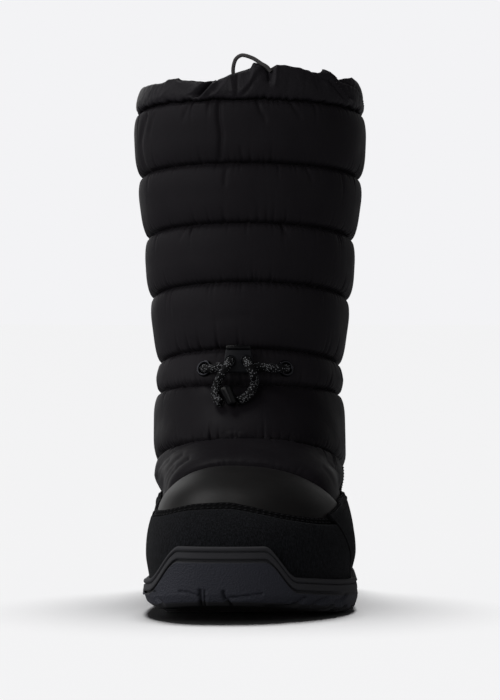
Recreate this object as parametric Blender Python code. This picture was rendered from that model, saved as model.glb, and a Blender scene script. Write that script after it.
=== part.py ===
"""Left winter boot: quilted nylon upper on its last, suede toe cap and foxing, moulded unit sole.

Sizes are millimetres and become metres when a mesh is made.
s runs forward from behind the heel, x towards the outer side of the foot, z up from the floor.
In the scene the toe points along -Y and the outer side of this left boot is +X.
"""

import math
from collections import namedtuple

import bmesh
import bpy
from mathutils import Matrix, Vector
from mathutils.bvhtree import BVHTree

MM = 0.001

# Clearances and walls
GAP = 0.35
WALL = 4.0
OVERLAY = 1.8
INSOLE = 3.5

# The last in plan: the outer face of the upper's wall just above the sole
HEEL_BACK = 4.0
HEEL_WIDE = 40.0
HEEL_POWER = 2.2
BALL = 186.0
TOE_TIP = 264.0
TOE_TIP_X = -5.0
TOE_POWER = 2.35
TOE_NOSE = 28.0
TOE_DOME_POWER = 2.1
LAST_WIDEST = 30.0
WIDEST_LIMIT = 0.92

PlanRow = namedtuple("PlanRow", "s medial lateral")
LAST_PLAN = (
    PlanRow(0.0, 35.0, 36.0),
    PlanRow(HEEL_WIDE, 35.0, 36.0),
    PlanRow(95.0, 36.0, 43.0),
    PlanRow(150.0, 39.8, 51.3),
    PlanRow(BALL, 41.2, 53.2),
)

# Sections of the upper at its seams, from the collar down the shaft, round the heel and on to the toe.
# top is on the front of the shaft and the instep, low on its back and then under the foot.
# share says how far the width goes over, with height, from the last's plan to the shaft's half width.
# heel says how far the back of the section is rounded as the last's heel and not as the shaft's oval.
# puff is the padding's bulge up to the next seam; a row without one lies inside the puff before it.
Section = namedtuple(
    "Section", "name top_s top_z low_s low_z crest_x half share widest power heel puff steps"
)
SECTIONS = (
    Section("collar_seam", 127.0, 256.0, 5.0, 245.5, 0.0, 57.5, 1.0, 0.50, 2.1, 0.0, 4.0, 6),
    Section("seam_one", 126.0, 223.6, 6.0, 211.0, 0.0, 55.7, 1.0, 0.50, 2.1, 0.0, 4.0, 6),
    Section("seam_two", 124.5, 193.0, 8.0, 178.0, 0.0, 52.0, 1.0, 0.50, 2.1, 0.0, 4.0, 6),
    Section("seam_three", 124.0, 162.8, 10.0, 145.5, 0.0, 49.7, 1.0, 0.50, 2.1, 0.0, 3.6, 6),
    Section("band_top", 124.0, 128.5, 13.0, 111.0, 0.0, 45.6, 1.0, 0.50, 2.1, 0.0, 3.6, 4),
    Section("band_low", 130.0, 110.5, 12.0, 97.0, 0.0, 45.8, 1.0, 0.52, 2.2, 0.2, 4.0, 6),
    Section("instep_seam", 156.0, 82.4, HEEL_BACK, 50.0, 1.0, 45.8, 1.0, 0.56, 2.4, 1.0, 4.0, 9),
    Section("heel_turn", 163.0, 80.0, HEEL_BACK, 2.0, 1.5, 45.5, 1.0, 0.56, 2.6, 1.0, None, 0),
    Section("waist", 177.0, 76.0, 92.0, 0.0, -1.0, 46.5, 0.15, 0.45, 2.8, 1.0, None, 0),
    Section("toe_seam", 196.0, 71.0, 186.0, 0.0, -3.0, 46.5, 0.0, 0.40, 2.3, 1.0, 1.4, 8),
)
OVAL_POWER = 2.1
CORNER = 0.06
SHAFT_BLEND = (28.0, 62.0)
# The ball of the foot swells out over the sole: its share on the inner and outer side, and where it grows
SWELL_INNER = 0.045
SWELL_OUTER = 0.04
SWELL_RISE = (17.0, 30.0)
SWELL_ALONG = (100.0, 170.0)
# The padding rolls down to a seam within this distance
PUFF_ROLL = 13.0
PUFF_POWER = 2.2
FOOT_FIRST = 5
INSIDE_THINNING = 2.6
FRONT_STEPS = 10
BACK_STEPS = 7
TOE_PUFF_FADE = 10.0
TOE_STEPS_LEAST = 7

# Edges of the suede: its height along the side, and across the front of the toe
EdgeRow = namedtuple("EdgeRow", "at z")
FOXING_EDGE = (
    EdgeRow(-10.0, 81.0),
    EdgeRow(10.0, 80.0),
    EdgeRow(35.0, 72.0),
    EdgeRow(72.0, 56.0),
    EdgeRow(115.0, 52.0),
    EdgeRow(150.0, 56.0),
    EdgeRow(190.0, 53.5),
    EdgeRow(205.0, 52.0),
    EdgeRow(225.0, 48.5),
)
TOE_CAP_EDGE = (
    EdgeRow(-70.0, 45.8),
    EdgeRow(-41.6, 47.0),
    EdgeRow(-18.7, 51.6),
    EdgeRow(-3.0, 52.3),
    EdgeRow(9.4, 50.6),
    EdgeRow(25.3, 47.2),
    EdgeRow(46.4, 44.0),
    EdgeRow(70.0, 43.5),
)
EDGE_STEPS = 12
# On the outer side the toe cap meets the foxing on a line that leans forwards from its foot
OUTER_BORDER_FOOT = 183.6
OUTER_BORDER_LEAN = 0.857

# Helper solids reach past the boot on every side
PAST_SIDE = 90.0
PAST_HEEL = -15.0
PAST_TOE = 284.0
PAST_TOP = 140.0
PAST_SOLE = -60.0
CAP_REACH = 120.0
PUFF_EDGE_FADE = 12.0

# Sole: growth beyond the last, the line of the tread, the line of the footbed and the toe bumper
SOLE_GROWTH = 5.2
TREAD_LINE = (
    EdgeRow(-10.0, 3.0),
    EdgeRow(12.0, 0.0),
    EdgeRow(82.0, 0.0),
    EdgeRow(88.0, 4.5),
    EdgeRow(110.0, 4.5),
    EdgeRow(117.0, 0.0),
    EdgeRow(200.0, 0.0),
    EdgeRow(226.0, 1.8),
    EdgeRow(250.0, 4.6),
    EdgeRow(275.0, 8.2),
)
FOOTBED_LINE = (
    EdgeRow(-10.0, 26.0),
    EdgeRow(40.0, 25.0),
    EdgeRow(90.0, 20.0),
    EdgeRow(140.0, 14.5),
    EdgeRow(186.0, 12.5),
    EdgeRow(225.0, 14.0),
    EdgeRow(275.0, 19.0),
)
# The tread's inner edge lifts off the floor ahead of the ball
ROLL_LIFT = 5.0
ROLL_BACK = (140.0, 184.0)
ROLL_FRONT = (214.0, 252.0)
LIP_RISE = 4.0
BUMPER_TOP = 36.3
BUMPER_FLAT = 20.6
BUMPER_RAMP = 16.0
BUMPER_BACK = 205.0
GROOVE_DROP = 6.6
GROOVE_FADE = (50.0, 60.0)
SOLE_HEEL_STEPS = 5
SOLE_MIDDLE = (62.0, 82.0, 88.0, 110.0, 117.0, 140.0, 163.0)
SOLE_TOE_STEPS = 9

# The sole's side from the tread up: growth from its outline, and rise above the line it follows
SoleRow = namedtuple("SoleRow", "name grow line rise")
SOLE_SIDE = (
    SoleRow("tread_flat", -12.0, "floor", 0.0),
    SoleRow("tread_edge", -4.5, "tread", 0.6),
    SoleRow("tread_corner", -1.2, "tread", 2.8),
    SoleRow("wall_foot", 0.0, "tread", 6.5),
    SoleRow("panel_top", 0.2, "groove", -0.9),
    SoleRow("groove_floor", -1.3, "groove", -0.1),
    SoleRow("rim_low", 0.0, "groove", 0.9),
    SoleRow("rim_high", -0.3, "lip", -2.9),
    SoleRow("bead_line", -1.2, "lip", -2.4),
    SoleRow("bead", -0.1, "lip", -1.5),
    SoleRow("bead_top", -0.9, "lip", 0.0),
    SoleRow("bead_inside", -4.8, "lip", 0.0),
)

# Tread: notches along the edges and bars across the middle
LUG_PITCH = 14.0
LUG_GAP = 4.6
LUG_DEPTH = 4.0
LUG_REACH = 17.0
LUG_OUT = 4.0
LUG_SKEW = 16.0
LUG_RUNS = ((14.0, 80.0), (122.0, 240.0))
BAR_STATIONS = (26.0, 66.0, 130.0, 148.0, 184.0, 202.0, 220.0)
BAR_HALF = 17.0
BAR_SKEW = 24.0
TOE_SLOTS = (-13.0, -3.5)
TOE_SLOT_TOP = 16.5
TOE_SLOT_DEPTH = 7.0

# Collar: a gathered casing above the collar seam, out from the seam and up by a share of its height
CollarRow = namedtuple("CollarRow", "name out rise gather")
COLLAR_SIDE = (
    CollarRow("hem", -0.8, 0.0, 0.1),
    CollarRow("swell", 2.4, 0.18, 0.4),
    CollarRow("body", 2.2, 0.5, 0.8),
    CollarRow("shoulder", 0.9, 0.85, 1.0),
    CollarRow("fold", -1.0, 1.0, 1.0),
    CollarRow("inside_top", -2.8, 0.86, 0.9),
    CollarRow("inside", -3.9, 0.45, 0.4),
    CollarRow("inside_hem", -3.9, 0.0, 0.0),
)
COLLAR_AROUND = 48
COLLAR_LIFT = 0.7

# turn is degrees from the front towards the outer side; tuck pulls the casing in
Fold = namedtuple("Fold", "turn height tuck")
COLLAR_FOLDS = (
    Fold(0.0, 14.6, 0.2),
    Fold(2.4, 15.6, 0.2),
    Fold(3.6, 18.4, 0.0),
    Fold(7.2, 17.6, 0.2),
    Fold(11.2, 15.2, 2.0),
    Fold(15.3, 17.4, 0.0),
    Fold(19.5, 17.6, 0.0),
    Fold(33.4, 16.0, 0.4),
    Fold(39.6, 14.9, 1.0),
    Fold(44.7, 17.5, -0.5),
    Fold(57.3, 13.5, 1.6),
    Fold(70.9, 16.2, -0.3),
    Fold(88.0, 14.8, 0.0),
    Fold(104.0, 13.0, 1.2),
    Fold(122.0, 12.5, 1.6),
    Fold(146.0, 15.0, -0.3),
    Fold(164.0, 12.8, 1.4),
    Fold(188.0, 15.2, -0.3),
    Fold(212.0, 12.6, 1.7),
    Fold(236.0, 14.8, -0.3),
    Fold(254.0, 12.4, 1.3),
    Fold(270.0, 13.1, 0.0),
    Fold(299.2, 11.7, 0.6),
    Fold(309.6, 10.9, 0.4),
    Fold(315.8, 12.2, 0.2),
    Fold(323.0, 12.2, 0.2),
    Fold(324.7, 11.0, 0.4),
    Fold(339.4, 9.2, 1.6),
    Fold(344.7, 10.2, 0.0),
    Fold(350.9, 11.3, 0.0),
    Fold(355.3, 13.1, 0.0),
)

# Ankle drawcord and its fittings, on the front of the ankle band
CORD = 4.6
EYELET_X = 20.7
EYELET_Z = 118.6
EYELET_OUTER = 4.4
EYELET_HOLE = 2.7
EYELET_THICK = 1.3
EYELET_SIDES = 16
EYELET_ROLL = 0.6
EYELET_LIFT = 0.6
LOCK_X = -3.0
LOCK_DEPTH = 4.8
LOCK_STANDOFF = 0.9
LOCK_ENTRY_Z = 119.6
LOCK_SIDE = 8.0
BAR_STRAIGHT = 3.0
BAR_RISE = 0.6
CORD_END_X = -7.6
CORD_END_LOW = 100.4
CORD_END_HIGH = 110.2
CORD_END_LEAN = 18.0
CORD_END_RADIUS = 3.1
CORD_END_TAPER = 0.86
CORD_END_BEVEL = 0.7
CORD_END_CLEAR = 2.2
CORD_END_SIDES = 14

# The lock from below up: half width, and depth with a lip along the front of its top edge
LockRow = namedtuple("LockRow", "z half depth")
LOCK_ROWS = (
    LockRow(116.6, LOCK_SIDE, LOCK_DEPTH),
    LockRow(128.2, 6.5, LOCK_DEPTH),
    LockRow(128.8, 6.4, LOCK_DEPTH + 1.1),
    LockRow(130.6, 6.2, LOCK_DEPTH + 1.1),
)

# Routes over the front of the boot: x, z and how far the cord is lifted off the padding.
# The first point is the hole in the lock, and its lift is how far the cord comes straight out of it.
RoutePoint = namedtuple("RoutePoint", "x z lift")
LOOP_MEDIAL = (
    RoutePoint(-7.0, 122.6, 1.4),
    RoutePoint(-8.6, 120.0, 7.8),
    RoutePoint(-11.4, 115.6, 6.6),
    RoutePoint(-13.7, 111.2, 3.6),
    RoutePoint(-14.6, 107.2, 1.2),
    RoutePoint(-13.6, 103.2, 0.2),
    RoutePoint(-11.4, 101.2, 0.0),
)
LOOP_LATERAL = (
    RoutePoint(1.2, 122.8, 1.4),
    RoutePoint(2.6, 120.2, 7.8),
    RoutePoint(4.6, 116.2, 6.6),
    RoutePoint(5.4, 112.0, 3.8),
    RoutePoint(4.2, 108.0, 1.4),
    RoutePoint(1.2, 104.4, 0.2),
    RoutePoint(-2.6, 102.4, 0.0),
)
CORD_STEP = 2.6

# Thin elastic cord that loops up out of the collar: x, s and z
COLLAR_CORD = 2.0
COLLAR_CORD_ROUTE = (
    Vector((-5.0, 119.6, 264.0)),
    Vector((-6.4, 120.2, 271.0)),
    Vector((-5.2, 121.6, 276.4)),
    Vector((-1.6, 122.8, 278.8)),
    Vector((3.4, 123.8, 277.4)),
    Vector((8.2, 124.6, 274.4)),
    Vector((11.2, 124.9, 272.6)),
)
COLLAR_CORD_STEP = 2.4


# Small tools


def lerp(a, b, t):
    """The value a share t of the way from a to b."""
    return a + (b - a) * t


def ease(low, high, value):
    """0 below low, 1 above high, and a smooth step between."""
    t = min(1.0, max(0.0, (value - low) / (high - low)))
    return t * t * (3.0 - 2.0 * t)


def curve_through(places, values):
    """A smooth curve through the values that never swings past them."""
    rises = [(b - a) / (q - p) for a, b, p, q in zip(values, values[1:], places, places[1:])]
    middle = [2.0 * a * b / (a + b) if a * b > 0.0 else 0.0 for a, b in zip(rises, rises[1:])]
    slopes = [rises[0], *middle, rises[-1]]

    def value_at(place):
        place = min(places[-1], max(places[0], place))
        i = max(k for k in range(len(places) - 1) if places[k] <= place)
        span = places[i + 1] - places[i]
        t = (place - places[i]) / span
        back = (1.0 + 2.0 * t) * (1.0 - t) ** 2 * values[i] + t * (1.0 - t) ** 2 * span * slopes[i]
        ahead = t * t * (3.0 - 2.0 * t) * values[i + 1] + t * t * (t - 1.0) * span * slopes[i + 1]
        return back + ahead

    return value_at


def edge_curve(rows):
    """The curve through a table of edge rows."""
    return curve_through([row.at for row in rows], [row.z for row in rows])


def place(s, x, z):
    """A point of the boot as a place in the scene, in metres."""
    middle = (TOE_TIP + SOLE_GROWTH + HEEL_BACK - SOLE_GROWTH) / 2.0
    return Vector((x, middle - s, z)) * MM


foxing_edge = edge_curve(FOXING_EDGE)
toe_cap_edge = edge_curve(TOE_CAP_EDGE)
tread_line = edge_curve(TREAD_LINE)
footbed_line = edge_curve(FOOTBED_LINE)
medial_plan = curve_through([row.s for row in LAST_PLAN], [row.medial for row in LAST_PLAN])
lateral_plan = curve_through([row.s for row in LAST_PLAN], [row.lateral for row in LAST_PLAN])


# Materials and objects


def material(name, colour, roughness, metallic=0.0):
    """A plain finish for one kind of piece."""
    finish = bpy.data.materials.new(name)
    finish.use_nodes = True
    shader = finish.node_tree.nodes["Principled BSDF"]
    shader.inputs["Base Color"].default_value = (*colour, 1.0)
    shader.inputs["Roughness"].default_value = roughness
    shader.inputs["Metallic"].default_value = metallic
    return finish


def add_object(name, data, finish):
    """A named object in the scene with its finish."""
    piece = bpy.data.objects.new(name, data)
    bpy.context.scene.collection.objects.link(piece)
    if finish:
        data.materials.append(finish)
    return piece


def mesh_object(name, bm, finish=None):
    """An object from a closed bmesh, with its faces turned out."""
    bmesh.ops.recalc_face_normals(bm, faces=bm.faces)
    mesh = bpy.data.meshes.new(name)
    bm.to_mesh(mesh)
    bm.free()
    mesh.shade_smooth()
    mesh.set_sharp_from_angle(angle=math.radians(35.0))
    return add_object(name, mesh, finish)


def cutter_object(name, bm):
    """A helper solid that shapes other pieces and is no piece itself."""
    cutter = mesh_object(name, bm)
    cutter.hide_render = True
    cutter.display_type = "WIRE"
    return cutter


def shape_with(piece, cutter, operation):
    """Adds an exact Boolean to a piece."""
    step = piece.modifiers.new(cutter.name, "BOOLEAN")
    step.object = cutter
    step.operation = operation
    step.solver = "EXACT"


def prism(outline, depth):
    """A bmesh prism from an outline in the scene, drawn out along depth."""
    bm = bmesh.new()
    face = bm.faces.new([bm.verts.new(point) for point in outline])
    grown = bmesh.ops.extrude_face_region(bm, geom=[face])
    moved = [item for item in grown["geom"] if isinstance(item, bmesh.types.BMVert)]
    bmesh.ops.translate(bm, vec=depth, verts=moved)
    return bm


# The upper's own form


def last_sides(s):
    """Inner and outer x of the last's plan at s."""
    if s <= BALL:
        return -medial_plan(s), lateral_plan(s)
    return toe_sides(s, 0.0)


def toe_sides(s, grow):
    """Inner and outer x of the plan ahead of the ball, grown outwards."""
    inner, outer = -medial_plan(BALL), lateral_plan(BALL)
    reach = min(1.0, (s - BALL) / (TOE_TIP + grow - BALL))
    axis = lerp((inner + outer) / 2.0, TOE_TIP_X, reach**2)
    half = ((outer - inner) / 2.0 + grow) * (1.0 - reach**TOE_POWER) ** (1.0 / TOE_POWER)
    return axis - half, axis + half


def section_at(v):
    """The section at row v of the table, smooth between its rows."""
    first, last = int(v), min(int(v) + 1, len(SECTIONS) - 1)
    if first == last:
        return SECTIONS[first]
    values = [curve(v) for curve in SECTION_CURVES]
    return Section(SECTIONS[first].name, *values, SECTIONS[first].puff, 0)


SHAPED = Section._fields[1:11]
SECTION_CURVES = [
    curve_through(range(len(SECTIONS)), [getattr(row, field) for row in SECTIONS]) for field in SHAPED
]


def toe_section(turn):
    """The section of the toe at a turn from 0 at the toe seam to a quarter circle at its tip."""
    seam = SECTIONS[-1]
    reach = math.sin(turn)
    top_s = lerp(seam.top_s, TOE_TIP, reach)
    low_s = lerp(seam.low_s, TOE_TIP, reach)
    dome = max(0.0, 1.0 - reach**TOE_DOME_POWER) ** (1.0 / TOE_DOME_POWER)
    top_z = lerp(TOE_NOSE, seam.top_z, dome)
    return seam._replace(
        top_s=top_s,
        top_z=top_z,
        low_s=low_s,
        crest_x=lerp(seam.crest_x, TOE_TIP_X, reach),
        widest=min(WIDEST_LIMIT, LAST_WIDEST / top_z),
    )


def heel_round(s):
    """How far the last's width is reached at s, from 0 at the back of the heel to 1."""
    if s >= HEEL_WIDE:
        return 1.0
    reach = min(1.0, (HEEL_WIDE - s) / (HEEL_WIDE - HEEL_BACK))
    return (1.0 - reach**HEEL_POWER) ** (1.0 / HEEL_POWER)


def under_corner(section, share):
    """Closes a section under the foot, below the footbed, where it doesn't end at the heel."""
    under = ease(HEEL_BACK, HEEL_WIDE, section.low_s)
    return lerp(1.0, min(1.0, share / CORNER) ** 0.5, under)


def section_point(section, turn):
    """The point of a section at a turn in radians: 0 at its top, the outer side first."""
    half_turn = turn if turn <= math.pi else 2.0 * math.pi - turn
    along = abs(math.cos(half_turn))
    front = half_turn <= math.pi / 2.0
    power = 2.0 / (section.power if front else OVAL_POWER)
    room = 1.0 - section.widest if front else -section.widest
    share = section.widest + room * along**power
    s = lerp(section.low_s, section.top_s, share)
    z = lerp(section.low_z, section.top_z, share)
    narrow = math.sin(half_turn) ** power
    if not front:
        narrow = lerp(narrow, heel_round(s) * under_corner(section, share), section.heel)
    outwards = 1.0 if turn <= math.pi else -1.0
    edge = last_sides(s)[1 if outwards > 0.0 else 0]
    shaft = section.share * ease(*SHAFT_BLEND, z)
    side = lerp(edge, section.crest_x + outwards * section.half, shaft)
    swell = SWELL_OUTER if outwards > 0.0 else SWELL_INNER
    narrow *= 1.0 + swell * section.heel * ease(*SWELL_RISE, z) * ease(*SWELL_ALONG, s)
    x = lerp(section.crest_x, side, narrow)
    return Vector((s, x, z))


def ring_turns():
    """Turns of the points round a section, from its top over the outer side and back."""
    front = [i * math.pi / 2.0 / FRONT_STEPS for i in range(FRONT_STEPS)]
    back = [math.pi / 2.0 * (1.0 + i / BACK_STEPS) for i in range(BACK_STEPS)]
    half = front + back
    return half + [math.pi] + [2.0 * math.pi - turn for turn in reversed(half[1:])]


def pillow(distance):
    """The padding's profile, from 0 on a seam to 1 where it has rolled up."""
    away = 1.0 - min(1.0, distance / PUFF_ROLL)
    return (1.0 - away**PUFF_POWER) ** (1.0 / PUFF_POWER)


def upper_rings(first=0, thinning=1):
    """Rings of (point, puff) from a seam of the table to the tip of the toe."""
    turns = ring_turns()
    seams = [i for i, row in enumerate(SECTIONS) if row.puff is not None and i >= first]
    rings = []
    for start, end in zip(seams, seams[1:]):
        row = SECTIONS[start]
        steps = max(2, round(row.steps / thinning))
        seam = [section_point(row, turn) for turn in turns]
        next_seam = [section_point(SECTIONS[end], turn) for turn in turns]
        for i in range(steps):
            section = section_at(lerp(start, end, 0.5 - 0.5 * math.cos(math.pi * i / steps)))
            points = [section_point(section, turn) for turn in turns]
            away = [min((p - a).length, (p - b).length) for p, a, b in zip(points, seam, next_seam)]
            free = [ease(0.0, PUFF_EDGE_FADE, p.z - foxing_edge(p.x)) for p in points]
            rings.append([(p, row.puff * pillow(d) * f) for p, d, f in zip(points, away, free)])
    return rings + toe_rings(turns, thinning)


def toe_rings(turns, thinning):
    """Rings of the toe, from the toe seam to the tip where the two sides meet."""
    row = SECTIONS[-1]
    steps = max(TOE_STEPS_LEAST, round(row.steps / thinning))
    seam = [section_point(row, turn) for turn in turns]
    rings = []
    for i in range(steps + 1):
        section = toe_section(math.pi / 2.0 * i / steps)
        points = [section_point(section, turn) for turn in turns]
        free = [ease(0.0, TOE_PUFF_FADE, p.z - toe_cap_edge(p.y)) for p in points]
        rings.append([(p, row.puff * pillow((p - a).length) * f) for p, a, f in zip(points, seam, free)])
    return rings


def join_rings(bm, rings):
    """Faces between each ring of vertices and the next."""
    for here, ahead in zip(rings, rings[1:]):
        for k in range(len(here)):
            n = (k + 1) % len(here)
            bm.faces.new((here[k], ahead[k], ahead[n], here[n]))


def skin(rings, offset, puffed):
    """A bmesh skin through rings, open at its first ring, moved out along its normals."""
    bm = bmesh.new()
    rows = [[bm.verts.new(place(p.x, p.y, p.z)) for p, _ in ring] for ring in rings]
    moves = {}
    for row, ring in zip(rows, rings):
        for vert, (_, puff) in zip(row, ring):
            moves[vert] = offset + (puff if puffed else 0.0)
    join_rings(bm, rows)
    close_tip(bm, rows[-1], moves)
    bmesh.ops.triangulate(bm, faces=bm.faces, quad_method="FIXED")
    bm.normal_update()
    for vert, move in [(v, moves[v] * MM) for v in bm.verts]:
        vert.co = vert.co + vert.normal * move
    return bm


def close_tip(bm, row, moves):
    """Joins the two sides of the last ring, which lie on each other at the tip."""
    pairs = {row[-k]: row[k] for k in range(1, len(row) // 2)}
    for gone in pairs:
        del moves[gone]
    bmesh.ops.weld_verts(bm, targetmap=pairs)


def foot_form(offset, inside=False):
    """A closed bmesh of the foot of the upper, moved out by offset; the inside has no padding."""
    bm = skin(upper_rings(FOOT_FIRST, INSIDE_THINNING if inside else 1), offset, not inside)
    bmesh.ops.holes_fill(bm, edges=[edge for edge in bm.edges if edge.is_boundary])
    return bm


def across_boot(outline):
    """A bmesh prism through the whole width of the boot, from an outline of s and z."""
    points = [place(s, -PAST_SIDE, z) for s, z in outline]
    return prism(points, Vector((2.0 * PAST_SIDE * MM, 0.0, 0.0)))


def side_block(outline, side):
    """A bmesh prism through one half of the boot, from an outline of s and z; side is 1 on the outer half."""
    points = [place(s, 0.0, z) for s, z in outline]
    return prism(points, Vector((side * PAST_SIDE * MM, 0.0, 0.0)))


def outer_border(z):
    """The s of the border between toe cap and foxing on the outer side, at a height."""
    return OUTER_BORDER_FOOT + OUTER_BORDER_LEAN * z


def footbed_slab(rise, top):
    """A bmesh slab over the whole plan, from a rise over the footbed to a higher one."""
    steps = [lerp(PAST_HEEL, PAST_TOE, i / EDGE_STEPS) for i in range(EDGE_STEPS + 1)]
    low = [(s, footbed_line(s) + rise) for s in steps]
    high = [(s, footbed_line(s) + top) for s in reversed(steps)]
    return across_boot(low + high)


# Pieces


def build_upper(finish):
    """The hollow quilted wall, open at the collar and above the sole."""
    bm = skin(upper_rings(), 0.0, True)
    inner = skin(upper_rings(thinning=INSIDE_THINNING), -WALL, False)
    lining = bpy.data.meshes.new("lining")
    inner.to_mesh(lining)
    inner.free()
    bm.from_mesh(lining)
    bpy.data.meshes.remove(lining)
    bmesh.ops.bridge_loops(bm, edges=[edge for edge in bm.edges if edge.is_boundary])
    upper = mesh_object("upper", bm, finish)
    shape_with(upper, cutter_object("below_upper", footbed_slab(PAST_SOLE, GAP)), "DIFFERENCE")
    return upper


def build_toe_cap(finish, backing, above_sole):
    """The suede cap over the toe, cut from the upper's own form."""
    cap = mesh_object("toe_cap", foot_form(OVERLAY + GAP), finish)
    half = TOE_CAP_EDGE[-1].at
    steps = [lerp(-half, half, i / (2 * EDGE_STEPS)) for i in range(2 * EDGE_STEPS + 1)]
    outline = [place(PAST_TOE, x, toe_cap_edge(x)) for x in steps]
    outline += [place(PAST_TOE, half, 0.0), place(PAST_TOE, -half, 0.0)]
    front = cutter_object("toe_cap_front", prism(outline, Vector((0.0, CAP_REACH * MM, 0.0))))
    seam = SECTIONS[-1]
    low, high = (seam.low_s + GAP, seam.low_z), (seam.top_s + GAP, seam.top_z)
    lines = (low, (PAST_TOE, seam.low_z), (PAST_TOE, seam.top_z), high)
    ahead = cutter_object("toe_cap_side", across_boot(lines))
    for helper in (front, ahead, above_sole):
        shape_with(cap, helper, "INTERSECT")
    behind = [(outer_border(z) + GAP, z) for z in (0.0, PAST_TOP)] + [(PAST_HEEL, PAST_TOP), (PAST_HEEL, 0.0)]
    for helper in (backing, cutter_object("toe_cap_outer", side_block(behind, 1.0))):
        shape_with(cap, helper, "DIFFERENCE")
    return cap


def build_foxing(finish, backing, above_sole):
    """The suede band along both sides and round the heel, cut from the upper's own form."""
    foxing = mesh_object("foxing", foot_form(OVERLAY + GAP), finish)
    front_top = outer_border(FOXING_EDGE[-1].z) - GAP
    steps = [lerp(PAST_HEEL, front_top, i / (2 * EDGE_STEPS)) for i in range(2 * EDGE_STEPS + 1)]
    lines = [(s, foxing_edge(s)) for s in steps] + [(outer_border(0.0) - GAP, 0.0), (PAST_HEEL, 0.0)]
    for helper in (cutter_object("foxing_side", across_boot(lines)), above_sole):
        shape_with(foxing, helper, "INTERSECT")
    seam = SECTIONS[-1]
    low, high = (seam.low_s - GAP, seam.low_z), (seam.top_s - GAP, seam.top_z)
    ahead = side_block((low, (PAST_TOE, seam.low_z), (PAST_TOE, seam.top_z), high), -1.0)
    for helper in (backing, cutter_object("foxing_inner", ahead)):
        shape_with(foxing, helper, "DIFFERENCE")
    return foxing


def sole_stations():
    """Stations along the sole between its two ends, closer where it turns."""
    back, tip = HEEL_BACK - SOLE_GROWTH, TOE_TIP + SOLE_GROWTH
    heel = [
        HEEL_WIDE - (HEEL_WIDE - back) * math.cos(math.pi / 2.0 * i / SOLE_HEEL_STEPS)
        for i in range(1, SOLE_HEEL_STEPS + 1)
    ]
    toe = [
        BALL + (tip - BALL) * math.sin(math.pi / 2.0 * i / SOLE_TOE_STEPS) for i in range(SOLE_TOE_STEPS)
    ]
    return [back, *heel, *SOLE_MIDDLE, *toe, tip]


def sole_sides(s, grow):
    """Inner and outer x of the sole's outline at a station, grown outwards."""
    growth = SOLE_GROWTH + grow
    if s > BALL:
        return toe_sides(s, growth)
    inner, outer = last_sides(s)
    inner, outer = inner - growth, outer + growth
    if s < HEEL_WIDE:
        reach = min(1.0, (HEEL_WIDE - s) / (HEEL_WIDE - HEEL_BACK + growth))
        narrow = (1.0 - reach**HEEL_POWER) ** (1.0 / HEEL_POWER)
        axis = (inner + outer) / 2.0
        return axis + (inner - axis) * narrow, axis + (outer - axis) * narrow
    return inner, outer


def grown_station(s, grow):
    """A station moved so that the ends of the outline grow with its sides."""
    back, tip = HEEL_BACK - SOLE_GROWTH, TOE_TIP + SOLE_GROWTH
    if s < HEEL_WIDE:
        return HEEL_WIDE - (HEEL_WIDE - s) * (HEEL_WIDE - back + grow) / (HEEL_WIDE - back)
    if s > BALL:
        return BALL + (s - BALL) * (tip - BALL + grow) / (tip - BALL)
    return s


def lip_line(s, x):
    """Height of the sole's top edge: along the side, and up over the toe bumper."""
    side = footbed_line(s) + LIP_RISE
    if s < BUMPER_BACK:
        return side
    bumper = 1.0 - ease(BUMPER_FLAT, BUMPER_FLAT + BUMPER_RAMP, abs(x - TOE_TIP_X))
    return lerp(side, BUMPER_TOP, bumper)


def sole_point(row, s, x):
    """The height of a row of the sole's side."""
    roll = ROLL_LIFT * ease(*ROLL_BACK, s) * (1.0 - ease(*ROLL_FRONT, s)) if x < 0.0 else 0.0
    lines = {
        "floor": tread_line(s),
        "tread": tread_line(s) + roll,
        "lip": lip_line(s, x),
        "groove": lip_line(s, x) - GROOVE_DROP,
    }
    return lines[row.line] + row.rise


def sole_ring(bm, row):
    """Vertices of one row: the back, the outer side forwards, the tip, the inner side backwards."""
    stations = sole_stations()

    def vert(s, side):
        fade = 1.0
        if row.name == "groove_floor":
            outer_edge = sole_sides(s, 0.0)[side]
            fade = 1.0 - ease(*GROOVE_FADE, abs(outer_edge - TOE_TIP_X)) if s > BUMPER_BACK else 0.0
        moved = grown_station(s, row.grow * fade)
        x = sole_sides(moved, row.grow * fade)[side]
        reference = sole_sides(s, 0.0)[side]
        return bm.verts.new(place(moved, x, sole_point(row, s, reference)))

    outer = [vert(s, 1) for s in stations]
    inner = [vert(s, 0) for s in reversed(stations[1:-1])]
    return outer + inner


def fill_across(bm, ring):
    """Closes a ring of the sole with strips from side to side."""
    count = len(ring) // 2
    for i in range(count):
        corners = [ring[i], ring[i + 1], ring[-(i + 1)], ring[-i] if i else ring[0]]
        bm.faces.new(list(dict.fromkeys(corners)))


def build_outsole(finish, cavity):
    """The unit sole: tread, toe panel, rim and bead, hollowed for the upper and notched into lugs."""
    bm = bmesh.new()
    rings = [sole_ring(bm, row) for row in SOLE_SIDE]
    join_rings(bm, rings)
    fill_across(bm, rings[0])
    fill_across(bm, rings[-1])
    sole = mesh_object("outsole", bm, finish)
    shape_with(sole, cavity, "DIFFERENCE")
    shape_with(sole, lug_cutter(), "DIFFERENCE")
    return sole


def add_block(bm, centre, size, yaw):
    """Adds a box of a size in millimetres, turned about z by yaw in degrees."""
    turn = Matrix.Rotation(math.radians(yaw), 4, "Z")
    scale = Matrix.Diagonal((*[length * MM for length in size], 1.0))
    bmesh.ops.create_cube(bm, size=1.0, matrix=Matrix.Translation(centre) @ turn @ scale)


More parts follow.
